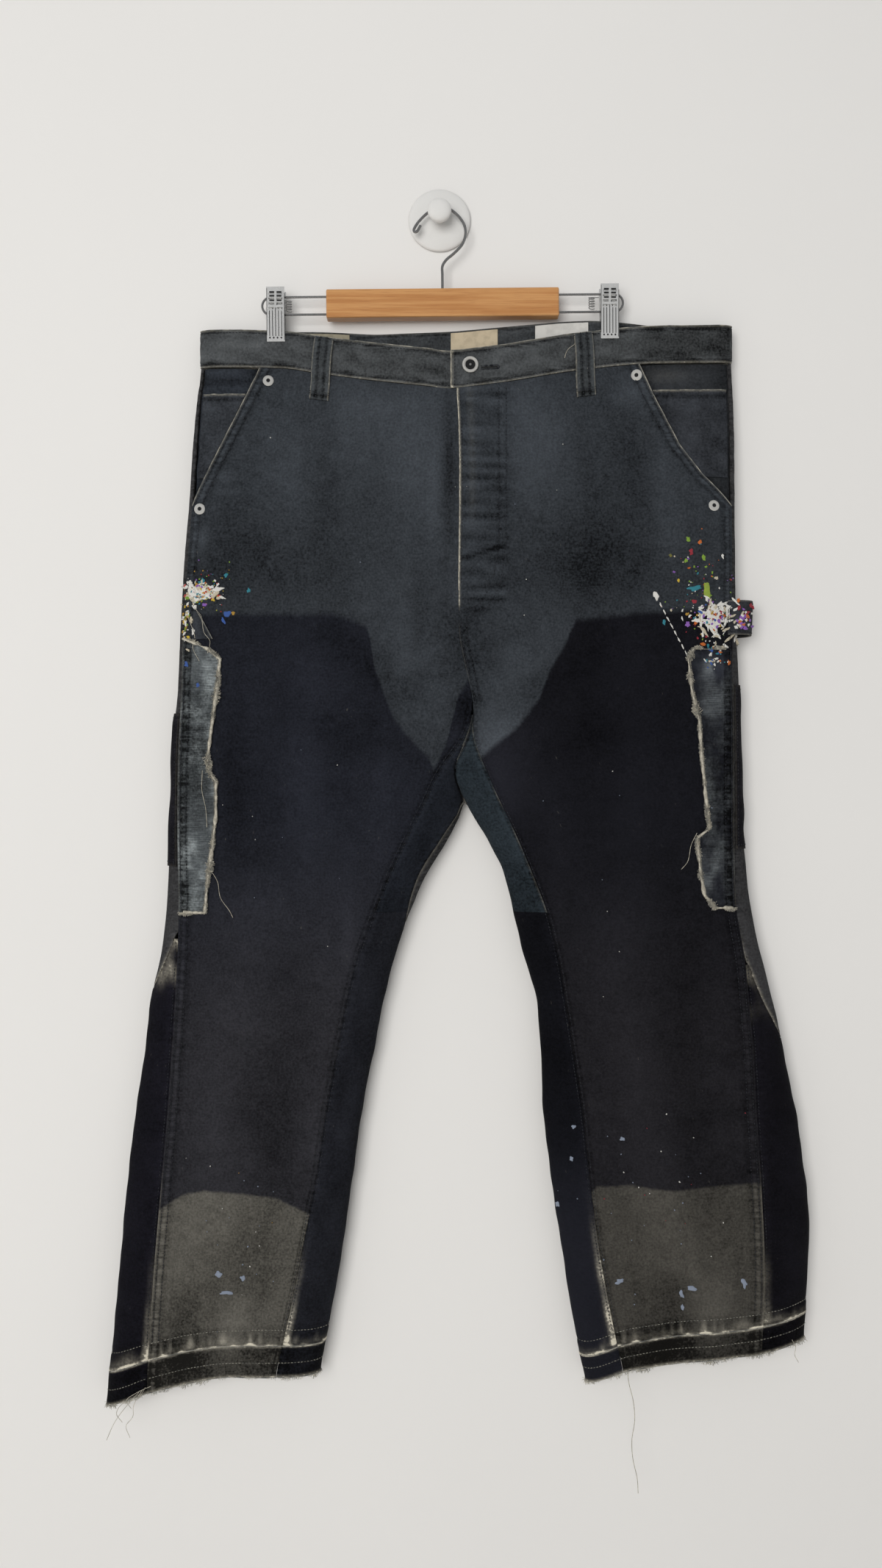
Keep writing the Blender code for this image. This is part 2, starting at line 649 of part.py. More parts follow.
def build_pockets(side):
    word = WORD[side]
    under = CLOTH + FACING_GAP
    loft_wall("pocket_facing_" + word, lambda u, h: pocket_facing(side, u, h),
              [BAND_SEAM - SEAM_GAP * 2, -196, -222, -250, -281, SLANT_END, SLANT_END - 14], even(5), -side,
              material("canvas_facing_" + word, COLOURS["slate"], 0.95), top=-under, bottom=-under - CLOTH,
              pulls=(True, False))
    rows = [(height, side_seam(side, height) - side * 2.5, read(SLANTS[side], "edge", height) + side * 2.0)
            for height in (-190, -222, -250, -282)]
    lay_on("patch_pocket_" + word, "pocket_facing_" + word, "front", side, rows, 1.1,
           material("canvas_patch_" + word, COLOURS["charcoal"], 0.95))


def build_fly():
    """The underlap lies behind both front panels; its foot follows the curve of the fly."""
    rows = []
    for height, reach in ((-164, 40.0), (-200, 40.0), (-250, 40.0), (-312, 40.0), (-350, 39.0), (-380, 33.0),
                          (-398, 20.0)):
        seam = read(RIGHT_SECTIONS, "front_seam", height)
        rows.append((height, seam - 13.0, seam + reach))
    lay_on("fly_underlap", None, "front", RIGHT, rows, CLOTH, material("canvas_fly", COLOURS["slate"], 0.95),
           gap=-CLOTH * 2 - LAY_GAP, columns=3)


Remnant = namedtuple("Remnant", "height inner_side")
LEFT_REMNANT = [Remnant(-458, -240.0), Remnant(-470, -228.0), Remnant(-494, -230.0), Remnant(-536, -235.5),
                Remnant(-578, -241.0), Remnant(-590, -240.0), Remnant(-602, -232.5), Remnant(-636, -232.5),
                Remnant(-668, -236.0), Remnant(-703, -241.0), Remnant(-738, -244.0)]
RIGHT_REMNANT = [Remnant(-464, 264.0), Remnant(-474, 258.5), Remnant(-505, 262.0), Remnant(-538, 270.0),
                 Remnant(-578, 273.0), Remnant(-618, 277.0), Remnant(-650, 281.0), Remnant(-660, 268.0),
                 Remnant(-700, 272.0), Remnant(-720, 276.0), Remnant(-733, 288.0)]
REMNANTS = {LEFT: LEFT_REMNANT, RIGHT: RIGHT_REMNANT}


def build_remnant(side):
    rows = [(row.height, side_seam(side, row.height) - side * 1.2, row.inner_side) for row in REMNANTS[side]]
    lay_on("knee_remnant_" + WORD[side], "front_panel_" + WORD[side], "front", side, rows, 1.2,
           material("canvas_remnant_" + WORD[side], COLOURS["pale_denim"], 0.95),
           gap=REMNANT_GAP, columns=5)


def build_knee_flap():
    """The folded corner that is left above the left remnant."""
    rows = [(-424, -258.0, -252.0), (-438, -262.0, -244.0), (-453, -265.5, -236.0)]
    lay_on("knee_flap", "front_panel_left", "front", LEFT, rows, 1.8,
           material("canvas_flap", COLOURS["charcoal"], 0.95), gap=REMNANT_GAP, columns=3)


def build_tool_pocket(side):
    """Lies on the back panel, from the side seam round the edge and across the back."""
    top, low = (-500.0, -672.0) if side == RIGHT else (-530.0, -690.0)
    reach = 0.47
    shares = [share for share in BACK_SHARES if share < reach] + [reach]
    shares[0] = 0.008
    loft_wall("tool_pocket_" + WORD[side], lambda u, h: back_panel(side, u, h),
              heights_between(side, top, low), shares, side,
              material("canvas_tool_pocket_" + WORD[side], COLOURS["charcoal"], 0.95),
              top=LAY_GAP + 1.2, bottom=LAY_GAP, carrier="back_panel_" + WORD[side])


HammerLoop = namedtuple("HammerLoop", "x y")
HAMMER_LOOP_PATH = [HammerLoop(301.5, -33.4), HammerLoop(309.0, -33.6), HammerLoop(318.0, -34.0),
                    HammerLoop(326.0, -30.0), HammerLoop(329.5, -21.0), HammerLoop(327.0, -11.5),
                    HammerLoop(319.0, -4.6), HammerLoop(304.0, -3.4), HammerLoop(286.0, -3.0)]
HAMMER_LOOP_TOP = -412.0
HAMMER_LOOP_HEIGHT = 36.0


def build_hammer_loop():
    """A strap that stands off the side seam and returns to the back panel."""
    path = [Vector((spot.x, spot.y, 0)) for spot in HAMMER_LOOP_PATH]
    outer, inner = [], []
    levels = (0.0, 0.5, 1.0)
    for level in levels:
        for index, spot in enumerate(path):
            along = path[min(index + 1, len(path) - 1)] - path[max(index - 1, 0)]
            normal = Vector((along.y, -along.x, 0)).normalized()
            sag = 1.5 * level * math.sin(math.pi * index / (len(path) - 1))
            drop = Vector((-sag, 0, HAMMER_LOOP_TOP - HAMMER_LOOP_HEIGHT * level))
            outer.append(spot + normal * LOOP_THICKNESS / 2 + drop)
            inner.append(spot - normal * LOOP_THICKNESS / 2 + drop)
    close_grid("hammer_loop", outer, inner, len(levels), len(path), 1,
               material("canvas_hammer_loop", COLOURS["charcoal"], 0.95))


BeltLoop = namedtuple("BeltLoop", "name face side x_top x_low")
BELT_LOOPS = [
    BeltLoop("belt_loop_front_left", "front", LEFT, -121.0, -127.0),
    BeltLoop("belt_loop_front_right", "front", RIGHT, 151.0, 155.0),
    BeltLoop("belt_loop_back_left", "back", LEFT, -118.0, -118.0),
    BeltLoop("belt_loop_back_centre", "back", RIGHT, 40.0, 40.0),
    BeltLoop("belt_loop_back_right", "back", RIGHT, 214.0, 214.0),
]
LOOP_TOP = BAND_SEAM + BAND_HEIGHT - 1.0
LOOP_LOW = BAND_SEAM - 29.0


def build_belt_loop(loop):
    """Sewn down on the band's top and below its seam, and standing off the band between."""
    outer, inner = [], []
    levels = (0.0, 0.12, 0.3, 0.5, 0.6, 0.72, 1.0)
    for level in levels:
        height = mix(LOOP_TOP, LOOP_LOW, level)
        middle = mix(loop.x_top, loop.x_low, level)
        on_band = BAND_PROUD * (1 if height > BAND_SEAM - 5 else 0)
        lift = LAY_GAP + on_band + LOOP_RISE * math.sin(math.pi * min(level / 0.68, 1.0))
        for share in (-0.5, 0.0, 0.5):
            x = middle + share * LOOP_WIDTH
            level_height = min(height, BAND_SEAM - 2)
            point = band_point(loop.face, loop.side, x, level_height)
            if height > BAND_SEAM - 2:
                point.z = band_point(loop.face, loop.side, x, BAND_SEAM).z + height - BAND_SEAM
            normal = skin_normal(loop.face, loop.side, x, level_height)
            normal.z = 0
            normal.normalize()
            if height < BAND_SEAM - 5:
                point = rest_on("%s_panel_%s" % (loop.face, WORD[loop.side]), point, normal)
            inner.append(point + normal * lift)
            outer.append(point + normal * (lift + LOOP_THICKNESS))
    facing = 1 if loop.face == "front" else -1
    close_grid(loop.name, outer, inner, len(levels), 3, facing,
               material("canvas_" + loop.name, COLOURS["slate"], 0.95))


Label = namedtuple("Label", "name side first last height colour")
LABELS = [
    Label("label_left", LEFT, -156.0, -96.0, 30.0, "beige"),
    Label("label_centre", RIGHT, 12.0, 62.0, 34.0, "cream"),
    Label("label_right", RIGHT, 102.0, 158.0, 30.0, "white"),
]


def build_label(label):
    """Lies on the inner face of the back of the band."""
    outer, inner = [], []
    columns = 3
    for level in (-2.0, -2.0 - label.height):
        for share in even(columns):
            x = mix(label.first, label.last, share)
            point = band_point("back", label.side, x, BAND_SEAM - 2)
            point.z = band_point("back", label.side, x, BAND_SEAM).z + BAND_HEIGHT + level
            normal = skin_normal("back", label.side, x, BAND_SEAM - 2)
            normal.z = 0
            normal.normalize()
            lift = BAND_PROUD - BAND_THICKNESS - 0.35
            outer.append(point + normal * lift)
            inner.append(point + normal * (lift - 0.5))
    close_grid(label.name, outer, inner, 2, columns + 1, -1, material(label.name, COLOURS[label.colour], 0.9))


# ---------------------------------------------------------------- button and rivets

def turned(name, profile, finish, steps):
    """A turned piece on +Z, from (radius, height) pairs that start and end on its axis."""
    mesh = bpy.data.meshes.new(name)
    mesh.from_pydata([Vector((radius, 0, height)) * MM for radius, height in profile],
                     [(index, index + 1) for index in range(len(profile) - 1)], [])
    thing = bpy.data.objects.new(name, mesh)
    parts.objects.link(thing)
    screw = thing.modifiers.new("Screw", "SCREW")
    screw.steps = steps
    screw.render_steps = steps
    screw.use_merge_vertices = True
    screw.merge_threshold = 0.00005
    screw.use_normal_flip = True
    mesh.materials.append(finish)
    return thing


def seat(thing, face, side, x, height, lift):
    """Sets a turned piece on the cloth, its axis along the outward normal."""
    normal = skin_normal(face, side, x, height)
    point = rest_on("%s_panel_%s" % (face, WORD[side]), band_point(face, side, x, height), normal)
    thing.matrix_world = (Matrix.Translation((point + normal * lift) * MM)
                          @ normal.to_track_quat("Z", "Y").to_matrix().to_4x4())


BUTTON_X = 32.0
BUTTON_BELOW_BAND_TOP = 17.0
BUTTON_PROFILE = [(0, 0), (7.0, 0), (8.5, 1.0), (8.5, 2.0), (7.4, 2.9), (5.8, 2.6), (5.0, 1.8), (0, 1.8)]
RIVET_PROFILE = [(0, 0), (5.8, 0), (5.6, 0.7), (3.6, 1.4), (1.8, 1.1), (0, 1.5)]

Rivet = namedtuple("Rivet", "name side x height")
RIVETS = [
    Rivet("rivet_left_upper", LEFT, -181.0, -176.0),
    Rivet("rivet_left_lower", LEFT, -251.0, -316.0),
    Rivet("rivet_right_upper", RIGHT, 208.0, -174.0),
    Rivet("rivet_right_lower", RIGHT, 287.0, -313.0),
]


def build_fasteners():
    steel = material("button_steel", (0.55, 0.55, 0.56), 0.35, 1.0)
    button = turned("waist_button", BUTTON_PROFILE, steel, 20)
    point = band_point("front", RIGHT, BUTTON_X, BAND_SEAM - 2)
    point.z = band_point("front", RIGHT, BUTTON_X, BAND_SEAM).z + BAND_HEIGHT - BUTTON_BELOW_BAND_TOP
    normal = skin_normal("front", RIGHT, BUTTON_X, BAND_SEAM - 2)
    normal.z = 0
    normal.normalize()
    button.matrix_world = (Matrix.Translation((point + normal * (BAND_PROUD + LAY_GAP)) * MM)
                           @ normal.to_track_quat("Z", "Y").to_matrix().to_4x4())
    for rivet in RIVETS:
        piece = turned(rivet.name, RIVET_PROFILE, material(rivet.name, (0.62, 0.61, 0.58), 0.4, 1.0), 12)
        seat(piece, "front", rivet.side, rivet.x, rivet.height, LAY_GAP)


# ---------------------------------------------------------------- the loose thread at the right hem

THREAD_DIAMETER = 0.7
THREAD_ROUTE = [(196.0, 0.0), (197.5, -14.0), (202.0, -32.0), (203.5, -52.0), (200.5, -72.0), (201.5, -92.0),
                (206.0, -112.0), (207.0, -128.0)]
THREAD_POINTS = 24


def smooth_curve(knots, count):
    """Points along a smooth curve through the knots (Catmull-Rom, evenly in parameter)."""
    ends = [knots[0] * 2 - knots[1]] + list(knots) + [knots[-1] * 2 - knots[-2]]
    points = []
    for step in range(count):
        place = step / (count - 1) * (len(knots) - 1)
        span = min(int(place), len(knots) - 2)
        t = place - span
        a, b, c, d = ends[span:span + 4]
        points.append(0.5 * (2 * b + (c - a) * t + (2 * a - 5 * b + 4 * c - d) * t * t
                             + (3 * b - a - 3 * c + d) * t ** 3))
    return points


def wire(name, points, diameter, finish, resolution=2):
    curve = bpy.data.curves.new(name, "CURVE")
    curve.dimensions = "3D"
    curve.bevel_depth = diameter / 2 * MM
    curve.bevel_resolution = resolution
    curve.use_fill_caps = True
    spline = curve.splines.new("POLY")
    spline.points.add(len(points) - 1)
    for spot, point in zip(spline.points, points):
        spot.co = (*(point * MM), 1.0)
    thing = bpy.data.objects.new(name, curve)
    parts.objects.link(thing)
    curve.materials.append(finish)
    return thing


def build_thread():
    hem = RIGHT_SECTIONS[-1].height
    start = front_point(RIGHT, THREAD_ROUTE[0][0], hem)
    knots = [Vector((x, start.y + CLOTH / 2, start.z - 0.5 + drop)) for x, drop in THREAD_ROUTE]
    wire("hem_thread", smooth_curve(knots, THREAD_POINTS), THREAD_DIAMETER,
         material("thread_cotton", COLOURS["cream"], 0.9))


# ---------------------------------------------------------------- hanger and wall hook

HANGER_TILT = 0.55        # degrees, higher on the right
HANGER_X = 2.4
WIRE_Y = -15.0            # the plane of the hanger's wires, behind the knob's head
BLOCK_SIZE = (246.0, 14.0, 30.0)
BLOCK_MIDDLE = -95.6
BAR_DIAMETER = 2.4
BAR_SPACING = 18.6
BAR_REACH = 192.5         # from the hanger's middle to a bar's rounded end
HOOK_DIAMETER = 3.0
CLIP_X = 176.4            # from the hanger's middle
CLIP_WIDTH = 19.0
CLIP_CLEAR = 11.0         # the band stays straight this far to each side of a clip's middle
CLIP_TOP = -78.0
CLIP_LOW = -135.0
CLIP_PLATE = 1.2
CLIP_FLARE = 2.2          # how much farther apart the jaws stand at the top

HOOK_ROUTE = [(-22.6, -11.6), (-25.4, -16.6), (-27.6, -18.4), (-29.6, -17.4), (-29.2, -14.4), (-24.6, -7.6),
              (-15.4, 1.4), (-6.4, 6.0), (1.6, 7.0), (9.6, 4.8), (18.2, -2.6), (23.8, -11.6), (25.0, -21.2),
              (21.4, -32.0), (12.6, -41.4), (4.6, -48.0), (0.2, -55.0), (0.0, -64.0), (0.0, -80.1)]

DISC_RADIUS = 33.0
NECK_RADIUS = 5.2
HEAD_RADIUS = 12.5
WALL_HOOK_PROFILE = [(0, 0), (DISC_RADIUS, 0), (DISC_RADIUS, 2.2), (31.0, 3.6), (20.0, 5.4), (8.0, 6.2),
                     (NECK_RADIUS, 7.4), (NECK_RADIUS, 18.5), (8.6, 19.6), (HEAD_RADIUS, 22.0),
                     (HEAD_RADIUS, 25.2), (10.6, 27.8), (5.6, 29.3), (0, 29.8)]


def build_hanger():
    tilt = bpy.data.objects.new("hanger_tilt", None)
    parts.objects.link(tilt)
    tilt.rotation_euler = (0, math.radians(-HANGER_TILT), 0)

    def hang(thing):
        thing.parent = tilt
        return thing

    wood = material("hanger_wood", COLOURS["honey"], 0.45)
    chrome = material("hanger_chrome", (0.72, 0.72, 0.73), 0.18, 1.0)

    bpy.ops.mesh.primitive_cube_add(size=1)
    block = keep(bpy.context.object, "hanger_block", wood)
    block.scale = [size * MM for size in BLOCK_SIZE]
    block.location = Vector((HANGER_X, WIRE_Y, BLOCK_MIDDLE)) * MM
    bpy.context.view_layer.objects.active = block
    bpy.ops.object.transform_apply(location=False, rotation=False, scale=True)
    bevel = block.modifiers.new("Bevel", "BEVEL")
    bevel.width = 1.6 * MM
    bevel.segments = 2
    hang(block)

    knots = [Vector((HANGER_X + x, WIRE_Y, z)) for x, z in HOOK_ROUTE]
    hang(wire("hanger_hook", smooth_curve(knots, 44), HOOK_DIAMETER, chrome))

    for side in (LEFT, RIGHT):
        radius = BAR_SPACING / 2
        start = BLOCK_SIZE[0] / 2 + SEAM_GAP
        points = [Vector((start, 0, radius))]
        points += [Vector((BAR_REACH - BAR_DIAMETER / 2 - radius + radius * math.sin(math.radians(angle)), 0,
                           radius * math.cos(math.radians(angle)))) for angle in range(0, 181, 15)]
        points += [Vector((start, 0, -radius))]
        placed = [Vector((HANGER_X + side * point.x, WIRE_Y, BLOCK_MIDDLE + point.z)) for point in points]
        hang(wire("hanger_bar_" + WORD[side], placed, BAR_DIAMETER, chrome))
        build_clip(side, chrome, hang)


def build_clip(side, chrome, hang):
    word = WORD[side]
    middle_x = HANGER_X + side * CLIP_X
    tall = CLIP_TOP - CLIP_LOW
    grip = -read(WAIST, "front", middle_x) + BAND_PROUD + LAY_GAP + WIRE_Y
    back_grip = read(WAIST, "back", middle_x) + BAND_PROUD + LAY_GAP - WIRE_Y
    for name, way, hold in (("clip_front_jaw_", -1, grip), ("clip_back_jaw_", 1, back_grip)):
        mesh = bpy.data.meshes.new(name + word)
        jaw = bpy.data.objects.new(name + word, mesh)
        parts.objects.link(jaw)
        mesh.materials.append(chrome)
        shape = bmesh.new()
        bmesh.ops.create_cube(shape, size=1)
        bmesh.ops.scale(shape, vec=Vector((CLIP_WIDTH, CLIP_PLATE, tall)) * MM, verts=shape.verts)
        for vertex in shape.verts:
            if vertex.co.z > 0:
                vertex.co.y += way * CLIP_FLARE * MM
        shape.to_mesh(mesh)
        shape.free()
        middle = Vector((middle_x, WIRE_Y + way * (hold + CLIP_PLATE / 2), (CLIP_TOP + CLIP_LOW) / 2))
        jaw.location = middle * MM
        hang(jaw)
        if way == -1:
            cut_slots(jaw, word, hang)
    bpy.ops.mesh.primitive_cube_add(size=1)
    saddle = keep(bpy.context.object, "clip_saddle_" + word, chrome)
    gap = BAR_SPACING - BAR_DIAMETER - 2 * SEAM_GAP
    share = (BLOCK_MIDDLE - CLIP_LOW) / tall
    front = grip + CLIP_FLARE * share - 0.6
    back = back_grip + CLIP_FLARE * share - 0.6
    saddle.scale = Vector((12.0, front + back, gap)) * MM
    saddle.location = Vector((middle_x, WIRE_Y + (back - front) / 2, BLOCK_MIDDLE)) * MM
    bpy.context.view_layer.objects.active = saddle
    bpy.ops.object.transform_apply(location=False, rotation=False, scale=True)
    hang(saddle)


def cut_slots(jaw, word, hang):
    """Two columns of four level slots in the upper half of a jaw."""
    mesh = bpy.data.meshes.new("slot_cutter_" + word)
    cutter = bpy.data.objects.new("slot_cutter_" + word, mesh)
    cutters.objects.link(cutter)
    shape = bmesh.new()
    for row in range(4):
        for column in (-1, 1):
            spot = Vector((column * 4.3, 0, 6.0 + row * 5.0)) * MM
            bmesh.ops.create_cube(shape, size=1, matrix=Matrix.Translation(spot)
                                  @ Matrix.Diagonal(Vector((6.0 * MM, 20 * MM, 2.2 * MM, 1))))
    shape.to_mesh(mesh)
    shape.free()
    cutter.location = jaw.location
    hang(cutter)
    cutter.hide_render = True
    cutter.display_type = "WIRE"
    cut = jaw.modifiers.new("Slots", "BOOLEAN")
    cut.operation = "DIFFERENCE"
    cut.solver = "EXACT"
    cut.object = cutter


def build_wall_hook():
    hook = turned("wall_hook", WALL_HOOK_PROFILE, material("wall_hook_white", COLOURS["white"], 0.35), 24)
    hook.rotation_euler = (math.radians(90), 0, 0)


for each_side in (LEFT, RIGHT):
    build_panels(each_side)
    build_pockets(each_side)
    build_remnant(each_side)
    build_tool_pocket(each_side)
build_waistband()
build_fly()
build_knee_flap()
build_hammer_loop()
for each_loop in BELT_LOOPS:
    build_belt_loop(each_loop)
for each_label in LABELS:
    build_label(each_label)
build_fasteners()
build_thread()
build_hanger()
build_wall_hook()
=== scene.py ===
from math import cos, hypot, pi, radians, sin, sqrt

import bpy
import numpy as np
from numpy.linalg import norm
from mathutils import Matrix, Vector
from mathutils.bvhtree import BVHTree


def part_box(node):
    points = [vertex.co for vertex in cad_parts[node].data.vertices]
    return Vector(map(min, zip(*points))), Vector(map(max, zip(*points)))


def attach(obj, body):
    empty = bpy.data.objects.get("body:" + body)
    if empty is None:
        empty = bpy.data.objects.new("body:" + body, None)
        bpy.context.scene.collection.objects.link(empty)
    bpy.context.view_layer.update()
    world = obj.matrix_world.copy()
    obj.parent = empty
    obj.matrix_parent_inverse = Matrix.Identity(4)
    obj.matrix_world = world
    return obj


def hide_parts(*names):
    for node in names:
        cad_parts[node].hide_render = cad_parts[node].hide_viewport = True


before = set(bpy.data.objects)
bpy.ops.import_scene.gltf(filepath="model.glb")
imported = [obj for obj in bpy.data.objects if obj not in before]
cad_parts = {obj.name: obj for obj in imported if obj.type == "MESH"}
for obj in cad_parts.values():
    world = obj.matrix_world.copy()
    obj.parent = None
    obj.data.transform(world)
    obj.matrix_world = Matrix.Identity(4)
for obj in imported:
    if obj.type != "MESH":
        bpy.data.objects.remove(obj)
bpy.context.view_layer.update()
scene = bpy.context.scene
mm = 0.001
left, right = -1, 1               # as seen from the front
legs = (left, right)
word = {left: "left", right: "right"}
clipParts = ("clip_front_jaw_", "clip_back_jaw_", "clip_saddle_")

print("camera")
view = {"lens": 27.17, "sensor": 36, "x": 1.6, "y": -1270, "z": -604}     # mm
cameraData = bpy.data.cameras.new("camera")
cameraData.lens = view["lens"]
cameraData.sensor_width = view["sensor"]
camera = bpy.data.objects.new("camera", cameraData)
scene.collection.objects.link(camera)
camera.location = (view["x"] * mm, view["y"] * mm, view["z"] * mm)
camera.rotation_euler = (radians(90), 0, 0)
scene.camera = camera


def addNode(tree, kind, inputs=(), **settings):
    # inputs by place or by name, each a value or another node's socket
    made = tree.nodes.new(kind)
    for name, value in settings.items():
        setattr(made, name, value)
    for place, value in inputs.items() if isinstance(inputs, dict) else enumerate(inputs):
        feed(tree, made.inputs[place], value)
    return made


def feed(tree, socket, value):
    if isinstance(value, bpy.types.NodeSocket):
        tree.links.new(value, socket)
    else:
        socket.default_value = (*value, 1) if socket.type == "RGBA" else value


def flow(tree, kind, inputs=(), **settings):
    # a new node's first output
    return addNode(tree, kind, inputs, **settings).outputs[0]


def calc(tree, operation, *values):
    return flow(tree, "ShaderNodeMath", values, operation=operation)


def times(tree, first, second):
    return calc(tree, "MULTIPLY", first, second)


def timesPlus(tree, first, second, third):
    return calc(tree, "MULTIPLY_ADD", first, second, third)


def blend(tree, share, low, high):
    return addNode(tree, "ShaderNodeMix", {0: share, 6: low, 7: high}, data_type="RGBA").outputs[2]


def noise(tree, where, scale, detail=2, stretch=(1, 1, 1), turn=0):
    place = flow(tree, "ShaderNodeMapping", {"Vector": where, "Scale": stretch, "Rotation": (0, 0, turn)})
    inputs = {"Vector": place, "Scale": scale, "Detail": detail}
    return addNode(tree, "ShaderNodeTexNoise", inputs).outputs["Fac"]


def grain(tree, *settings):
    # noise about zero
    return calc(tree, "SUBTRACT", noise(tree, *settings), 0.5)


def ramp(tree, value, low, high, outLow=0, outHigh=1):
    ends = (value, low, high, outLow, outHigh)
    return flow(tree, "ShaderNodeMapRange", ends, interpolation_type="SMOOTHSTEP")


def attribute(tree, name, output="Fac"):
    return addNode(tree, "ShaderNodeAttribute", attribute_name=name).outputs[output]


def coords(tree):
    return addNode(tree, "ShaderNodeTexCoord").outputs["Object"]


def split(tree, vector, axis):
    return addNode(tree, "ShaderNodeSeparateXYZ", [vector]).outputs[axis]


def newGroup(name, inputs, outputs, kind="ShaderNodeTree"):
    # inputs are (name, socket, start); a tree of either kind
    tree = bpy.data.node_groups.new(name, kind)
    for label, socketKind, start in inputs:
        socket = tree.interface.new_socket(label, in_out="INPUT", socket_type="NodeSocket" + socketKind)
        if start is not None:
            socket.default_value = start
    for label, socketKind in outputs:
        tree.interface.new_socket(label, in_out="OUTPUT", socket_type="NodeSocket" + socketKind)
    return tree, tree.nodes.new("NodeGroupInput").outputs, tree.nodes.new("NodeGroupOutput").inputs


def newMaterial(name):
    made = bpy.data.materials.new(name)
    made.use_nodes = True
    tree = made.node_tree
    return made, tree, tree.nodes["Principled BSDF"]


def coat(tree, shader, colour, height, strength, distance, looks):
    # colour, bump and the shader's other inputs
    relief = addNode(tree, "ShaderNodeBump", {"Strength": strength, "Distance": distance, "Height": height})
    looks = {"Base Color": colour, "Normal": relief.outputs["Normal"], **looks}
    for label, value in looks.items():
        feed(tree, shader.inputs[label], value)


def shaded(colour, share):
    return [part * share for part in colour]


print("materials")
clothLook = {
    "cream": (0.6, 0.56, 0.46), "slate": (0.0325, 0.0372, 0.0438), "dark": (0.011, 0.0115, 0.015),
    "ghost": {left: (0.0128, 0.0142, 0.0198), right: (0.0069, 0.0071, 0.0097)},
    "ghostLow": {left: (0.0215, 0.0215, 0.0255), right: (0.0128, 0.0124, 0.0148)},
    "shin": {left: (0.084, 0.08, 0.07), right: (0.053, 0.05, 0.044)}, "band": (0.055, 0.059, 0.062),
    "bandInside": (0.044, 0.048, 0.052), "back": (0.034, 0.034, 0.036),
    "facing": {left: (0.023, 0.027, 0.034), right: (0.021, 0.023, 0.026)},
    "patch": {left: (0.036, 0.04, 0.047), right: (0.03, 0.033, 0.039)},
    "gusset": {left: (0.0115, 0.0135, 0.0185), right: (0.0195, 0.0265, 0.033)},
    "insert": {left: (0.0112, 0.0121, 0.016), right: (0.0041, 0.0043, 0.0061)},
    "flare": {left: (0.0064, 0.0062, 0.0094), right: (0.005, 0.0047, 0.0068)},
    "remnant": {left: (0.064, 0.072, 0.076), right: (0.0095, 0.0105, 0.014)},
    "toolPocket": (0.007, 0.0066, 0.009), "flap": (0.026, 0.029, 0.034),
    "loop": (0.044, 0.049, 0.053), "hammerLoop": (0.028, 0.03, 0.035),
}


def wornCanvasGroup():
    tree, given, result = newGroup(
        "wornCanvas",
        [("Base", "Color", (0.05, 0.05, 0.06, 1)), ("Blotch", "Float", 0.35), ("Grain", "Float", 0.3),
         ("Scuff", "Float", 0.2)], [("Color", "Color"), ("Height", "Float")])
    where = addNode(tree, "ShaderNodeTexCoord")
    spot = where.outputs["Object"]
    weaveSpot = where.outputs["UV"]
    cloud = grain(tree, spot, 12, 3, (1, 1, 0.4))
    mottle = grain(tree, spot, 75, 5)
    fleck = grain(tree, spot, 430, 2)
    warp = grain(tree, weaveSpot, 1, 2, (1150, 170, 1))
    weft = grain(tree, weaveSpot, 1, 2, (150, 1300, 1))
    wear = attribute(tree, "wear")
    # ropes: the puckers along the seams, raised in the bump and also painted lighter on their ridges and
    # darker in their troughs, which is painted light and shade
    ropes = ramp(tree, noise(tree, weaveSpot, 1, 2, (38, 230, 1), 0.5), 0.38, 0.62, -1)
    ropes = times(tree, ropes, attribute(tree, "pucker"))
    threads = calc(tree, "ADD", warp, weft)
    amount = timesPlus(tree, cloud, given["Blotch"], 1)
    amount = timesPlus(tree, times(tree, mottle, 1.3), given["Blotch"], amount)
    amount = timesPlus(tree, threads, given["Grain"], amount)
    amount = timesPlus(tree, times(tree, fleck, 3.5), given["Grain"], amount)
    amount = timesPlus(tree, ropes, 0.38, calc(tree, "ADD", amount, attribute(tree, "tone")))
    amount = calc(tree, "MAXIMUM", amount, 0.12)
    scaled = flow(tree, "ShaderNodeVectorMath", {0: given["Base"], "Scale": amount}, operation="SCALE")
    # scuffs: small pale threads where the canvas has been rubbed
    rubbed = times(tree, ramp(tree, noise(tree, weaveSpot, 1, 3, (420, 140, 1)), 0.66, 0.78),
                  ramp(tree, mottle, 0.02, 0.2))
    scuffed = times(tree, rubbed, given["Scuff"])
    colour = blend(tree, scuffed, scaled, clothLook["cream"])
    # worn through to cream: a soft glow with crisp flecks in it
    flecks = grain(tree, spot, 330, 4)
    crisp = ramp(tree, timesPlus(tree, flecks, 1.1, wear), 0.48, 0.95)
    soft = times(tree, ramp(tree, wear, 0, 1.2), timesPlus(tree, flecks, 1.2, 0.5))
    feed(tree, result["Color"], blend(tree, calc(tree, "MAXIMUM", crisp, soft), colour, clothLook["cream"]))
    height = timesPlus(tree, threads, 0.35, mottle)
    height = timesPlus(tree, fleck, 0.5, height)
    feed(tree, result["Height"], timesPlus(tree, ropes, 0.9, height))
    return tree


wornCanvas = wornCanvasGroup()
clothShine = {"Roughness": 0.93, "Specular IOR Level": 0.1, "Sheen Weight": 0.015}


def clothShader(tree, shader, base, blotch, weave, scuff):
    inputs = {"Base": base, "Blotch": blotch, "Grain": weave, "Scuff": scuff}
    cloth = addNode(tree, "ShaderNodeGroup", inputs, node_tree=wornCanvas).outputs
    coat(tree, shader, cloth["Color"], cloth["Height"], 0.7, 0.0011, clothShine)


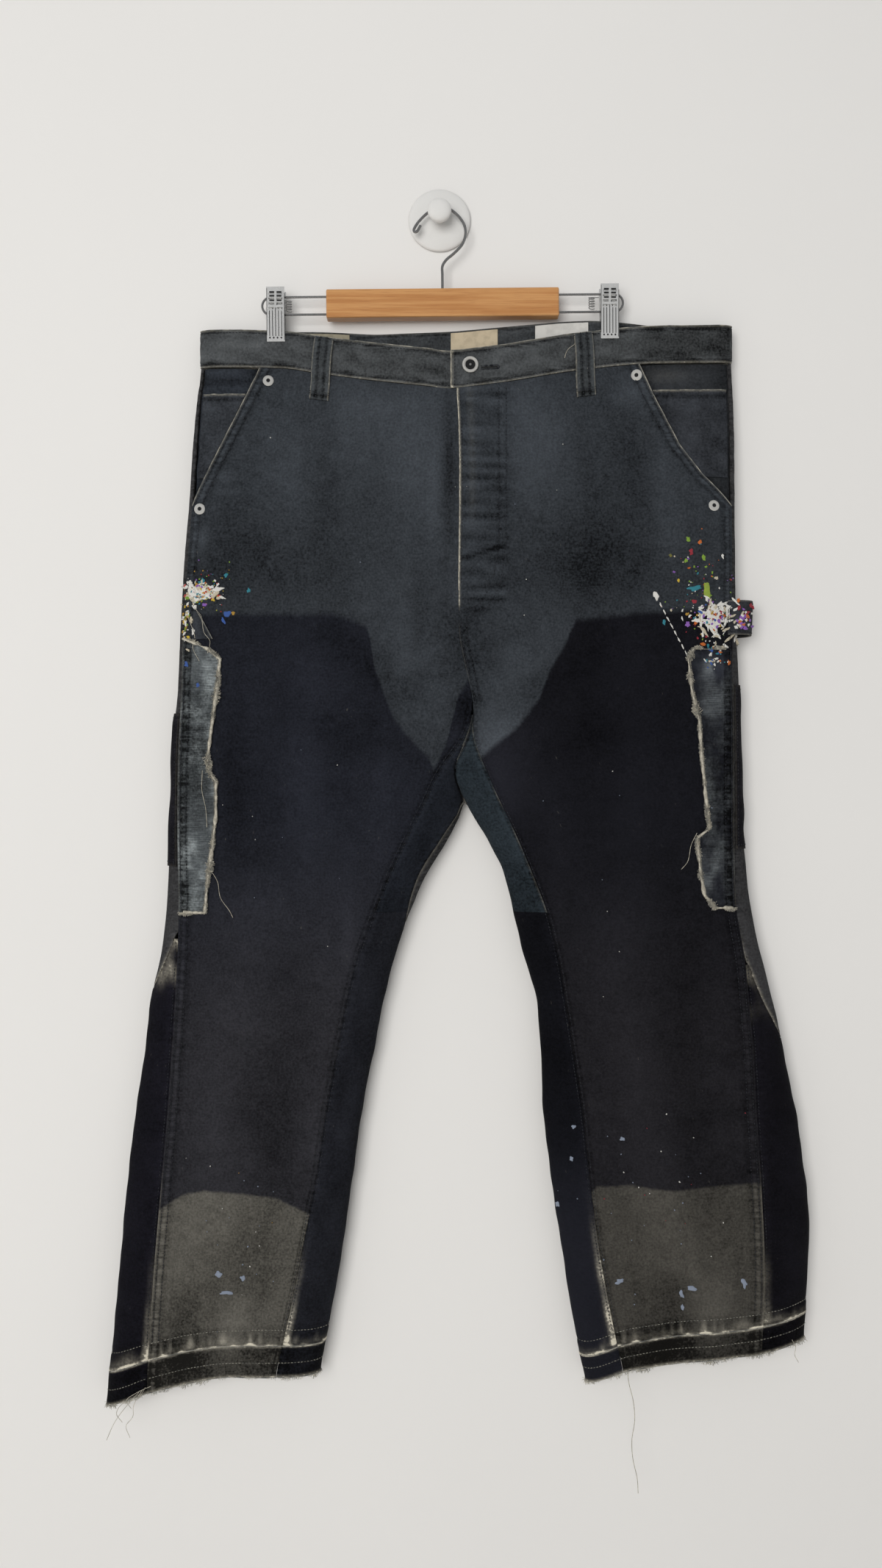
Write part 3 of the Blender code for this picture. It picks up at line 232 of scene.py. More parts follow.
def canvasMaterial(name, base, blotch=0.55, weave=0.42, scuff=0.12, inside=None):
    made, tree, shader = newMaterial("canvas_" + name)
    if inside:
        facing = split(tree, addNode(tree, "ShaderNodeNewGeometry").outputs["Normal"], "Y")
        within = times(tree, ramp(tree, facing, 0, -0.2), attribute(tree, "rear"))
        base = blend(tree, within, base, inside)
    clothShader(tree, shader, base, blotch, weave, scuff)
    return made


def frontMaterial(side):
    # faded slate above, the dark ghost of the knee patch, and the dusty shin
    made, tree, shader = newMaterial("canvas_front_" + word[side])
    spot = coords(tree)
    ragged = grain(tree, spot, 130, 4)
    below = {}
    for name, uneven, soft in (("ghost", 6, 4.6), ("shin", 4, 2.2)):
        below[name] = ramp(tree, timesPlus(tree, ragged, uneven, attribute(tree, name)), -soft, soft)
    lower = ramp(tree, split(tree, spot, "Z"), -0.62, -0.9)
    dark = blend(tree, lower, clothLook["ghost"][side], clothLook["ghostLow"][side])
    base = blend(tree, below["ghost"], clothLook["slate"], dark)
    base = blend(tree, below["shin"], base, clothLook["shin"][side])
    clothShader(tree, shader, base, 0.45, 0.42, 0.1)
    return made


def threadMaterial(name, low, high, scale=260, ends=(0.42, 0.58)):
    # two thread colours in uneven lengths
    made, tree, shader = newMaterial(name)
    spot = coords(tree)
    fine = noise(tree, spot, 1400, 1)
    colour = blend(tree, ramp(tree, noise(tree, spot, scale, 3), *ends), low, high)
    colour = blend(tree, times(tree, fine, 0.5), colour, (0.02, 0.02, 0.02))
    coat(tree, shader, colour, fine, 0.4, 0.0003, {"Roughness": 0.9, "Specular IOR Level": 0.15})
    return made


def metalMaterial(name, colour, roughness, scratch=0.2, metallic=1):
    made, tree, shader = newMaterial(name)
    spot = coords(tree)
    smear = noise(tree, spot, 220, 3, (1, 1, 0.25))
    base = blend(tree, smear, shaded(colour, 0.82), colour)
    looks = {"Roughness": ramp(tree, smear, 0.3, 0.7, roughness, roughness + scratch), "Metallic": metallic}
    coat(tree, shader, base, noise(tree, spot, 1500, 1), 0.08, 0.0002, looks)
    return made


def woodMaterial():
    made, tree, shader = newMaterial("honey_wood")
    spot = coords(tree)
    rings = noise(tree, spot, 1, 5, (9, 60, 260))
    fibres = noise(tree, spot, 1, 3, (45, 900, 1500))
    colour = blend(tree, ramp(tree, rings, 0.35, 0.65), (0.57, 0.29, 0.108), (0.46, 0.205, 0.066))
    colour = blend(tree, ramp(tree, fibres, 0.52, 0.75, 0, 0.5), colour, (0.3, 0.12, 0.038))
    looks = {"Roughness": 0.42, "Coat Weight": 0.25, "Coat Roughness": 0.25}
    coat(tree, shader, colour, fibres, 0.25, 0.0003, looks)
    return made


def plainMaterial(name, colour, roughness, dark, hazeScale, hazeDetail, fineScale, strength, distance):
    # one colour with a soft haze and a fine grain: the wall hook and the room
    made, tree, shader = newMaterial(name)
    spot = coords(tree)
    base = blend(tree, noise(tree, spot, hazeScale, hazeDetail), shaded(colour, dark), colour)
    coat(tree, shader, base, noise(tree, spot, fineScale, 2), strength, distance, {"Roughness": roughness})
    return made, tree, shader


def labelMaterial(name, colour, dirt):
    made, tree, shader = newMaterial(name)
    where = addNode(tree, "ShaderNodeTexCoord").outputs
    inputs = {"Vector": where["UV"], "Scale": 330}
    ribs = addNode(tree, "ShaderNodeTexWave", inputs, bands_direction="Y").outputs["Fac"]
    stain = ramp(tree, noise(tree, where["Object"], 120, 4), 0.4, 0.7, 0, dirt)
    low = shaded(colour, 0.72)
    base = blend(tree, times(tree, ribs, 0.14), blend(tree, stain, colour, low), low)
    coat(tree, shader, base, ribs, 0.3, 0.0003, {"Roughness": 0.85})
    return made


def paintMaterial():
    made, tree, shader = newMaterial("dried_paint")
    haze = noise(tree, coords(tree), 420, 3)
    tint = attribute(tree, "paint", "Color")
    base = blend(tree, times(tree, haze, 0.35), tint, (0.05, 0.05, 0.05))
    coat(tree, shader, base, haze, 0.35, 0.0006, {"Roughness": 0.55})
    return made


chrome = metalMaterial("bright_chrome", (0.8, 0.8, 0.79), 0.18, 0.12, 0.6)
wireChrome = metalMaterial("chrome_wire", (0.3, 0.3, 0.3), 0.2, 0.12, 0.85)
steel = metalMaterial("worn_steel", (0.5, 0.5, 0.5), 0.32)
brightSteel = metalMaterial("rubbed_steel", (0.72, 0.71, 0.68), 0.38, 0.2, 0.6)
# dark metal for the rivet and button cores, and painted shade: the buttonhole's slit and the marks on the
# clip jaws are made of it
darkMetalAndShade = metalMaterial("dark_rivet_core_and_painted_shade", (0.06, 0.06, 0.062), 0.45)
wood = woodMaterial()
hookWhite = plainMaterial("gloss_white", (0.74, 0.735, 0.72), 0.28, 0.95, 60, 4, 500, 0.12, 0.0002)[0]
darkStitch = threadMaterial("dark_stitches", (0.012, 0.013, 0.018), (0.035, 0.038, 0.045))
paleStitch = threadMaterial("pale_stitches", (0.34, 0.33, 0.28), (0.13, 0.13, 0.12))
wornThread = threadMaterial("worn_edge", (0.13, 0.135, 0.13), (0.44, 0.42, 0.36), 120, (0.35, 0.68))
creamThread = threadMaterial("cream_thread", (0.66, 0.62, 0.52), (0.44, 0.41, 0.34), 300)
paint = paintMaterial()


# curves and tables, in mm
def table(*rows):
    return np.array(sorted(rows), dtype=float)


def read(rows, column, at, soften=0):
    # a column of a table; soften rounds its corners off
    steps = (-1.5, -0.5, 0.5, 1.5) if soften else (0,)
    return sum(np.interp(at + step * soften, rows[:, 0], rows[:, column]) for step in steps) / len(steps)


def ease(share):
    share = np.clip(share, 0, 1)
    return share * share * (3 - 2 * share)


def rounded(distance, reach, power=2):
    share = np.clip(distance / reach, 0, 1)
    return (1 - (1 - share) ** power) ** (1 / power)


def signedRoot(distance):
    return np.sign(distance) * np.sqrt(np.abs(distance))


def mix(low, high, share):
    return low * (1 - share) + high * share


def hump(distance, width):
    return np.exp(-(distance / width) ** 2)


def wobble(x, z, size, seed):
    # soft uneven waves about size mm apart
    dice = np.random.default_rng(seed)
    total = 0
    for _ in range(7):
        angle = dice.uniform(0, pi)
        pitch = size * dice.uniform(0.7, 1.5)
        total = total + np.sin((x * cos(angle) + z * sin(angle)) * 2 * pi / pitch + dice.uniform(0, 6.28))
    return total / 2.6


def smoothCurve(knots, count):
    ends = [knots[0] * 2 - knots[1]] + list(knots) + [knots[-1] * 2 - knots[-2]]
    points = []
    for step in range(count):
        place = step / (count - 1) * (len(knots) - 1)
        span = min(int(place), len(knots) - 2)
        t = place - span
        a, b, c, d = ends[span:span + 4]
        points.append(0.5 * (2 * b + (c - a) * t + (2 * a - 5 * b + 4 * c - d) * t * t
                             + (3 * b - a - 3 * c + d) * t ** 3))
    return points


cut = {
    "cloth": 1.5, "seamGap": 0.3, "layGap": 0.4, "remnantGap": 0.7, "facingGap": 2.2, "bandHeight": 39,
    "bandThick": 2.8, "bandProud": 0.6, "bandLapEnd": 12, "bandUnderlapEnd": 54, "centreBack": 27,
    "bandSeam": -162, "slantEnd": -312, "frontCrotch": -522, "backCrotch": -624, "gussetSeam": -738,
    "dipEnd": -334, "hemSlopeStart": -1000, "waistTilt": 0.0096, "tiltCentre": 30, "dipLift": 0.6,
    "innerRound": 45, "backSeamRound": 20, "sideRound": 65,
}
bandSeam = cut["bandSeam"]
# height and y of the inner edge
innerY = table((-522, -38), (-552, -35.5), (-590, -25), (-624, -12), (-660, -15), (-700, -18.5), (-738, -20))
# height, then the x of the outer edge, side seam, front seam and inner edge, and the back inseam's distance
outerEdge, sideSeamX, frontSeam, innerEdge, backInseam = 1, 2, 3, 4, 5
sections = {
    left: table(
        (-162, -252, -249, 18, 36, 0), (-196, -257, -253.5, 20, 36, 0), (-222, -259, -255, 20.5, 36, 0),
        (-250, -261, -256.5, 21, 36, 0), (-281, -263, -258, 21, 36, 0), (-312, -265, -259.5, 21, 36, 0),
        (-380, -270, -265, 20, 36, 0), (-450, -274, -268.5, 20, 36, 0), (-522, -277, -270.5, 36, 36, 0),
        (-552, -281.5, -272.5, 27, 31.5, 0), (-590, -282.5, -273.5, -1.5, 13, 0),
        (-624, -283.5, -274, -17, 27, 0), (-660, -284.5, -274, -35, 11, 8), (-700, -286, -273, -54, -15, 8),
        (-738, -288, -272.5, -69, -32, 2), (-785, -294, -273.5, -86, -47, -6),
        (-830, -305, -276, -97, -59, -14), (-880, -309.5, -279, -106, -68, -20),
        (-950, -321, -284, -119, -82, -25), (-1020, -329, -290, -129, -92, -28),
        (-1085, -336, -296, -142, -101, -30), (-1150, -343, -301, -155, -112, -32),
        (-1195, -348, -304, -165, -121, -32), (-1222, -352, -304.5, -171, -126, -32)),
    right: table(
        (-162, 309, 306, 18, 36, 0), (-196, 310.5, 306.5, 20, 36, 0), (-222, 311.5, 307, 20.5, 36, 0),
        (-250, 312, 307, 21, 36, 0), (-281, 312, 307, 21, 36, 0), (-312, 311.5, 307, 21, 36, 0),
        (-380, 312, 307, 20, 36, 0), (-450, 313, 307, 20, 36, 0), (-522, 316, 307.5, 36, 36, 0),
        (-552, 317.5, 308, 34, 31.5, 0), (-590, 318.5, 308, 48.5, 13, 0), (-624, 319.5, 308, 64, 27, 0),
        (-660, 320.5, 308, 81.5, 50, -6), (-700, 324, 308.5, 98, 69, -10), (-738, 329, 310, 113, 78, -14),
        (-785, 338.5, 319, 124, 89, -18), (-830, 351.5, 323, 131.5, 103, -20),
        (-880, 362.5, 327.5, 139.5, 107, -22), (-950, 376, 331, 150, 109, -25),
        (-1020, 387, 335.5, 157, 118, -28), (-1085, 391, 338.5, 167, 129, -30),
        (-1140, 388, 339, 178, 140, -32), (-1180, 385.5, 337, 186, 148.5, -32),
        (-1206, 384.5, 335.5, 192, 155, -32)),
}
lowest = {side: sections[side][0, 0] for side in legs}
# height, and how far round the outer edge the flare insert's back seam lies
flares = {
    left: table((-758, 16), (-785, 9), (-830, -3), (-880, -15), (-950, -25), (-1020, -32), (-1222, -45)),
    right: table((-785, 19.5), (-830, 13), (-880, -3), (-950, -18), (-1020, -28), (-1206, -45)),
}
# height and x of the slant pocket's free edge
slants = {
    left: table((-162, -190), (-250, -231), (-312, -259.5)),
    right: table((-162, 211), (-196, 226), (-250, 253), (-281, 276), (-312, 307)),
}
# x, and how far the hem rises there
hems = {
    left: table((-356, -38), (-306, -16), (-228, 1), (-126, 0)),
    right: table((154, -28), (193, -9), (257, 0), (328, 7), (386, 21)),
}
# height, then the front, back and edge depths and the width over which a side rounds
depths = table(
    (-162, -31, -9, -15, 14), (-250, -34, -5.5, -18, 30), (-380, -37, -4.5, -20, 42),
    (-522, -38, -4.5, -20, 45), (-738, -37, -4.5, -20, 45), (-950, -36, -4.5, -20, 42),
    (-1222, -38, -4.5, -20, 42),
)
# x along the waist, then its front and back depths and the sag of its front and back edges
waistFront, waistBack, dip, rise = 1, 2, 3, 4
waist = table(
    (-252, -20.5, -10, 0, 0), (-215, -20.5, -10, 0, 0), (-189, -18.2, -11.6, 0, 0),
    (-160, -18.2, -11.6, -1, 0), (-120, -24, -10, -10, 0), (-69, -31, -6.5, -19, -2),
    (14, -36, -5.5, -30, 1), (66, -33, -6, -23, 5), (132, -24, -9.5, -9.5, 9), (164, -18.2, -11.6, -4, 9),
    (194, -18.2, -11.6, -1, 6.5), (225, -20.5, -10, 0, 3), (262, -20.5, -10, 0, 0), (309, -20.5, -10, 0, 0),
)
# x and height of both ends of a fold, its width, and its height: troughs are negative
frontFolds = [
    (21, -400, 30, -505, 30, -2), (0, -508, -165, -440, 22, -1.6), (-10, -560, -190, -520, 24, -1.4),
    (62, -512, 205, -445, 22, -1.6), (75, -585, 220, -540, 24, -1.4), (-195, -640, -235, -1150, 30, 1.8),
    (-140, -660, -190, -1180, 24, -1.6), (165, -650, 250, -1150, 30, 1.8), (235, -640, 300, -1150, 24, -1.6),
    (-262, -1110, -266, -1235, 20, -2.6), (-215, -1130, -214, -1235, 18, 2),
    (238, -1100, 236, -1220, 20, -2.6), (290, -1110, 292, -1220, 20, 2),
    # finer creases
    (16, -455, -40, -485, 7, 0.8), (14, -480, -60, -520, 8, -0.9), (8, -515, -75, -560, 7, 0.9),
    (40, -440, 90, -410, 7, 0.8), (44, -470, 110, -430, 8, -0.8), (50, -500, 120, -470, 9, 0.8),
    (52, -530, 118, -512, 8, -0.9), (70, -560, 150, -545, 8, 0.7), (-30, -600, -120, -590, 9, 0.8),
    (-120, -200, -175, -330, 13, 0.7), (-60, -215, -80, -350, 11, -0.6), (95, -205, 100, -340, 12, 0.8),
    (140, -215, 165, -330, 12, -0.8), (185, -250, 215, -380, 12, 0.7), (-205, -330, -150, -420, 11, -0.7),
    (225, -350, 180, -440, 11, -0.7), (-100, -395, -60, -430, 10, 0.6), (120, -380, 175, -398, 10, -0.6),
    (-120, -700, -230, -668, 12, -0.9), (-135, -745, -255, -726, 11, 0.8),
    (-130, -805, -240, -790, 13, -0.9), (-150, -870, -265, -838, 12, 0.8),
    (-160, -940, -262, -955, 12, -0.7), (140, -705, 258, -676, 12, -0.9), (150, -760, 285, -742, 12, 0.9),
    (170, -820, 300, -806, 12, -0.8), (185, -890, 310, -905, 12, 0.8), (190, -965, 305, -948, 12, -0.7),
    (325, -886, 268, -893, 7, -0.9), (328, -905, 262, -917, 7, 0.9), (331, -936, 270, -950, 8, -1),
    (334, -970, 272, -978, 8, 0.9), (337, -1008, 280, -1020, 8, -0.8), (-200, -1060, -262, -1085, 9, 0.7),
    (-230, -990, -280, -1008, 9, -0.7), (215, -1060, 285, -1082, 9, 0.7),
    (-180, -1100, -190, -1175, 8, -0.9), (-232, -1100, -240, -1180, 7, -0.8),
    (-285, -1090, -292, -1170, 8, 0.9), (205, -1090, 212, -1170, 8, -0.9), (262, -1080, 266, -1165, 8, 0.9),
    (315, -1085, 320, -1170, 8, -0.9),
]
backFolds = [
    (27, -430, 27, -600, 34, -1.6), (-10, -600, -170, -540, 26, -1.4), (65, -600, 215, -545, 26, -1.4),
    (-180, -680, -235, -1150, 30, -1.6), (190, -680, 270, -1150, 30, -1.6),
    (-240, -1110, -244, -1235, 20, 1.6), (262, -1100, 264, -1220, 20, 1.6), (-60, -230, -90, -420, 14, 0.9),
    (110, -230, 150, -430, 14, 0.9), (-150, -260, -190, -470, 14, -0.9), (210, -260, 240, -470, 13, -0.8),
    (-5, -640, -120, -618, 11, 0.9), (70, -645, 190, -622, 11, 0.9), (-70, -720, -210, -705, 13, -0.9),
    (110, -725, 250, -712, 13, -0.9), (-90, -800, -240, -812, 13, 0.9), (130, -810, 290, -795, 13, 0.9),
    (-110, -900, -250, -880, 13, -0.8), (150, -900, 310, -915, 13, -0.8),
    (-130, -1040, -270, -1060, 13, 0.8), (165, -1045, 320, -1030, 13, 0.8),
    (-170, -1110, -180, -1200, 10, -0.9), (210, -1100, 215, -1195, 10, -0.9),
    (320, -1090, 330, -1190, 10, 0.9), (-300, -1100, -306, -1200, 10, 0.9),
]


def seamX(side, column, h):
    return read(sections[side], column, h, 8)


def foldHeight(folds, x, h):
    total = 0
    for xTop, hTop, xLow, hLow, width, height in folds:
        runX, runH = xLow - xTop, hLow - hTop
        length = hypot(runX, runH)
        along = ((x - xTop) * runX + (h - hTop) * runH) / length
        aside = ((x - xTop) * runH - (h - hTop) * runX) / length
        aside = aside + 0.35 * width * np.sin(along / length * 5 + hTop)      # no fold is quite straight
        ends = ease(along / (0.3 * length)) * ease((length - along) / (0.3 * length))
        total = total + height * hump(aside, width) * ends
    return total


def bodyDepth(side, x, h, column, waistColumn):
    # the depth with its outer edge rounded off, how far folds fade there, and what the inner edge needs
    waistShare = 1 - ease((bandSeam - h) / 190)
    flat = mix(read(depths, column, h, 15), read(waist, waistColumn, x, 5), waistShare)
    outer = np.abs(x - seamX(side, outerEdge, h))
    edge = read(depths, 3, h, 15)
    y = edge + (flat - edge) * rounded(outer, read(depths, 4, h, 15))
    sharpness = 1.2 + 0.8 * ease((cut["frontCrotch"] - h) / (cut["frontCrotch"] - cut["backCrotch"]))
    inner = np.abs(x - seamX(side, innerEdge, h))
    return y, rounded(outer, 30), inner, read(innerY, 1, h, 8), sharpness


def frontDepth(side, x, h):
    y, fade, inner, innerDepth, sharpness = bodyDepth(side, x, h, 1, waistFront)
    turned = innerDepth + (y - innerDepth) * rounded(inner, cut["innerRound"], sharpness)
    apart = ease((cut["frontCrotch"] + 6 - h) / 12)
    return mix(y, turned, apart) - foldHeight(frontFolds, x, h) * fade * mix(1, rounded(inner, 30), apart)


def backDepth(side, x, h):
    y, fade, inner, innerDepth, sharpness = bodyDepth(side, x, h, 2, waistBack)
    closing = ease((cut["backCrotch"] + 64 - h) / 64)
    seamY = mix(y, read(innerY, 1, np.full_like(h, cut["backCrotch"]), 8), closing)
    above = seamY + (y - seamY) * rounded(np.abs(x - cut["centreBack"]), cut["backSeamRound"], sharpness)
    reach = mix(cut["backSeamRound"], cut["innerRound"], ease((cut["backCrotch"] - h) / 76))
    below = innerDepth + (y - innerDepth) * rounded(inner, reach)
    upper = h > cut["backCrotch"]
    fade = fade * np.where(upper, 1, rounded(inner, 30))
    return np.where(upper, above, below) + foldHeight(backFolds, x, h) * fade


def trueHeight(side, x, h, column):
    sag = cut["dipLift"] + cut["waistTilt"] * (x - cut["tiltCentre"]) + read(waist, column, x, 6)
    sag = sag * ease((h - cut["dipEnd"]) / (bandSeam - cut["dipEnd"]))
    hemShare = ease((cut["hemSlopeStart"] - h) / (cut["hemSlopeStart"] - lowest[side]))
    return h + sag + read(hems[side], 1, x, 6) * hemShare


def spread(x, h):
    x, h = np.broadcast_arrays(np.asarray(x, float), np.asarray(h, float))
    return x.copy(), h.copy()


def frontPoint(side, x, h):
    x, h = spread(x, h)
    return np.stack([x, frontDepth(side, x, h), trueHeight(side, x, h, dip)], -1)


def backPoint(side, x, h):
    x, h = spread(x, h)
    return np.stack([x, backDepth(side, x, h), trueHeight(side, x, h, rise)], -1)


def roundEdge(side, bend, h, column, inwards):
    # bend is the root of the distance from an edge: positive in front, negative behind
    bend, h = spread(bend, h)
    x = seamX(side, column, h) + inwards * bend * bend
    return np.where((bend >= 0)[..., None], frontPoint(side, x, h), backPoint(side, x, h))


def roundOuter(side, bend, h):
    return roundEdge(side, bend, h, outerEdge, -side)


def roundInner(side, bend, h):
    return roundEdge(side, bend, h, innerEdge, side)


def sideSeam(side, h):
    return seamX(side, sideSeamX, h)


def frontEdge(side, h):
    return np.where(h > cut["slantEnd"], read(slants[side], 1, h), sideSeam(side, h))


def outerStart(side, h):
    onSeam = np.abs(seamX(side, outerEdge, h) - sideSeam(side, h))
    return np.where(h >= flares[side][-1, 0], onSeam, read(flares[side], 1, h))


def inseam(side, h):
    return np.where(h < cut["backCrotch"], signedRoot(seamX(side, backInseam, h)), 0)


def frontGrid(side, h, shares):
    return frontPoint(side, mix(frontEdge(side, h), seamX(side, frontSeam, h), shares), h)


def backGrid(side, h, shares):
    wide, turn = sqrt(cut["sideRound"]), sqrt(cut["innerRound"])
    first = signedRoot(outerStart(side, h))
    shares, h = spread(shares, h)
    start = roundOuter(side, mix(first, -wide, np.clip(shares / 0.4, 0, 1)), h)
    far = seamX(side, outerEdge, h) - side * cut["sideRound"]
    upper = h > cut["backCrotch"]
    nearEdge = np.where(upper, cut["centreBack"], seamX(side, innerEdge, h))
    near = nearEdge + side * cut["innerRound"]
    middle = backPoint(side, mix(far, near, np.clip((shares - 0.4) / 0.3, 0, 1)), h)
    bend = mix(-turn, inseam(side, h), np.clip((shares - 0.7) / 0.3, 0, 1))
    centre = backPoint(side, cut["centreBack"] + side * bend * bend, h)
    end = np.where(upper[..., None], centre, roundInner(side, bend, h))
    return np.where((shares <= 0.4)[..., None], start, np.where((shares <= 0.7)[..., None], middle, end))


def innerGrid(side, h, shares):
    first = np.sqrt(np.abs(seamX(side, frontSeam, h) - seamX(side, innerEdge, h)))
    return roundInner(side, mix(first, inseam(side, h), shares), h)


def flareGrid(side, h, shares):
    first = np.sqrt(np.abs(seamX(side, outerEdge, h) - sideSeam(side, h)))
    return roundOuter(side, mix(first, signedRoot(outerStart(side, h)), shares), h)


def ladder(top, low, step, finer=0, finerStep=2):
    # heights from top to low as a column, with closer rows over the last stretch
    middle = low + finer
    rows = np.linspace(top, middle, max(int((top - middle) / step), 2) + 1)
    if finer:
        rows = np.concatenate([rows, np.linspace(middle, low, int(finer / finerStep) + 1)[1:]])
    return rows[:, None]


def crowded(count, amount=0.06):
    # shares from 0 to 1, closer together at both ends
    step = np.linspace(0, 1, count)
    return (step - amount * np.sin(2 * pi * step))[None, :]


def unit(vectors):
    return vectors / np.maximum(norm(vectors, axis=-1, keepdims=True), 1e-9)


def gridNormals(grid, facing):
    return unit(np.cross(np.gradient(grid, axis=0), np.gradient(grid, axis=1))) * facing


def gridFaces(rows, columns, facing):
    # the outer grid, the inner one behind it, and the rim that joins them
    a = (np.arange(rows - 1)[:, None] * columns + np.arange(columns - 1)).ravel()
    shift = rows * columns
    top, first = np.arange(columns - 1), np.arange(rows - 1) * columns
    low, last = top + (rows - 1) * columns, first + columns - 1
    faces = [np.stack([a, a + columns, a + columns + 1, a + 1], 1)]
    faces.append(np.stack([a, a + 1, a + columns + 1, a + columns], 1) + shift)
    for near, far in ((top, top + 1), (low + 1, low), (first + columns, first), (last, last + columns)):
        faces.append(np.stack([near, far, far + shift, near + shift], 1))
    faces = np.concatenate(faces)
    return faces if facing > 0 else faces[:, ::-1]


def addObject(name, data):
    thing = bpy.data.objects.new(name, data)
    scene.collection.objects.link(thing)
    return thing


def addMesh(name, points, faces=(), finish=None, sharp=None, joins=()):
    # points in mm; sharp is the angle past which an edge stays crisp
    mesh = bpy.data.meshes.new(name)
    mesh.from_pydata((np.asarray(points, float) * mm).tolist(), joins, faces)
    if finish:
        mesh.materials.append(finish)
        mesh.shade_smooth()
    if sharp:
        mesh.set_sharp_from_angle(angle=radians(sharp))
    return addObject(name, mesh)


def setField(thing, name, values, kind="FLOAT", key="value"):
    values = np.asarray(values, dtype=np.float32).ravel()
    thing.data.attributes.new(name, kind, "POINT").data.foreach_set(key, values)


def setUv(thing, uv):
    mesh = thing.data
    corners = np.empty(len(mesh.loops), dtype=np.int32)
    mesh.loops.foreach_get("vertex_index", corners)
    mesh.uv_layers.new(name="cloth").data.foreach_set("uv", uv[corners].astype(np.float32).ravel())


def lengthsAlong(track):
    return np.concatenate([[0], np.cumsum(norm(np.diff(track, axis=0), axis=1))])


def seamDistances(grid):
    fromFirst = np.array([lengthsAlong(row) for row in grid])
    return fromFirst, fromFirst[:, -1:] - fromFirst


def measure(grid, rows):
    # each point's x, z and height, and how far it lies from the first and the last column
    return (grid[..., 0], grid[..., 2], np.broadcast_to(rows, grid.shape[:2]), *seamDistances(grid))


edges = {}                # each wall's outer grid
skins = {}                # its surface, for what is sewn on it
sewn = []


def wall(name, grid, facing, finish, slotName, relief=None, fields=None, thick=cut["cloth"],
         rests=("waistband",), seamed=True):
    # a closed wall of cloth behind the given outer grid; relief is in mm along the normal
    grid = grid.copy()
    if seamed:
        for edge, beside in ((0, 1), (-1, -2)):
            grid[:, edge] += unit(grid[:, beside] - grid[:, edge]) * cut["seamGap"] / 2
    normals = gridNormals(grid, facing)
    inner = grid - normals * thick
    if relief is not None:
        grid = grid + normals * relief[..., None]
        inner = inner + normals * np.minimum(relief, 0)[..., None] * 0.9
    rows, columns = grid.shape[:2]
    points = np.concatenate([grid.reshape(-1, 3), inner.reshape(-1, 3)])
    faces = gridFaces(rows, columns, facing)
    thing = addMesh(name + "_cloth", points, faces.tolist(), finish, 50)
    fromFirst, _ = seamDistances(grid)
    middle = columns // 2
    across = grid[:, middle:middle + 1, 0] + (fromFirst - fromFirst[:, middle:middle + 1])
    uv = np.stack([across, grid[..., 2]], -1).reshape(-1, 2) * mm
    setUv(thing, np.concatenate([uv, uv]))
    for label, values in {"tone": 0, "wear": 0, "pucker": 0, **(fields or {})}.items():
        values = np.broadcast_to(values, (rows, columns)).ravel()
        setField(thing, label, np.concatenate([values, values]))
    setField(thing, "rear", np.concatenate([np.zeros(rows * columns), np.ones(rows * columns)]))
    skins[name] = BVHTree.FromPolygons(points.tolist(), faces.tolist())
    edges[name] = grid
    down = norm(np.diff(grid, axis=0), axis=2).sum(axis=0).max()
    sides = np.diff(grid, axis=0)[:, :-1], np.diff(grid, axis=1)[:-1]
    area = norm(np.cross(*sides), axis=2).sum()
    sewn.append({"node": name, "thing": thing, "slot": slotName, "flat": (fromFirst.max() * mm, down * mm),
                 "area": area * mm * mm, "rests": list(rests), "with": []})
    return thing


def fading(distance, reach):
    return np.exp(-np.abs(distance) / reach)


def runsOf(*runs):
    # each run is first, last and count; the ends that runs share come once
    return np.unique(np.concatenate([np.linspace(*run) for run in runs]))


def ridge(distance, first, last, soft):
    # 1 between two distances from a seam, with soft shoulders
    return ease((distance - first + soft) / (2 * soft)) * ease((last + soft - distance) / (2 * soft))


def spots(listed, x, z):
    total = 0
    for cx, cz, wide, tall, amount in listed:
        total = total + amount * np.exp(-((x - cx) / wide) ** 2 - ((z - cz) / tall) ** 2)
    return total


print("front panels")
frontSizes = {
    "step": 3.2, "columns": 86, "lap": 1.25, "felled": 0.75, "seamRow": 3.3, "seamRowInner": 9.7,
    "welt": 0.8, "pucker": 0.38, "wave": 0.5, "flyRow": 49, "flyRowInner": 41.6,
}
# height, slope and depth of the creases beside the fly, each pressed in and painted darker along its line,
# which is painted shade
flyCreases = [(-214, 0.25, 0.35), (-286, 0.1, 0.3), (-309, 0.25, 0.4), (-364, 0.6, 0.7), (-412, 0.1, 0.2)]
ghostTop = {
    left: table(
        (-290, -425), (-228, -427), (-112, -427), (-90, -433), (-73, -443), (-68, -483), (-57, -512),
        (-48, -535), (-31, -556), (-12, -576), (-6, -590), (7, -562), (20, -512), (40, -480)),
    right: table(
        (330, -423), (262, -423), (220, -424.6), (142, -433), (130, -461), (116, -483.5), (104, -516),
        (81, -545), (52, -568), (40, -580), (0, -600)),
}
shinTop = {
    left: table(
        (-310, -1060), (-290, -1046), (-267, -1032), (-246, -1028), (-207, -1031), (-169, -1037),
        (-138, -1051), (-110, -1070)),
    right: table(
        (150, -1040), (164, -1024), (201, -1023), (246, -1029), (288.5, -1024), (331, -1020), (345, -1030)),
}
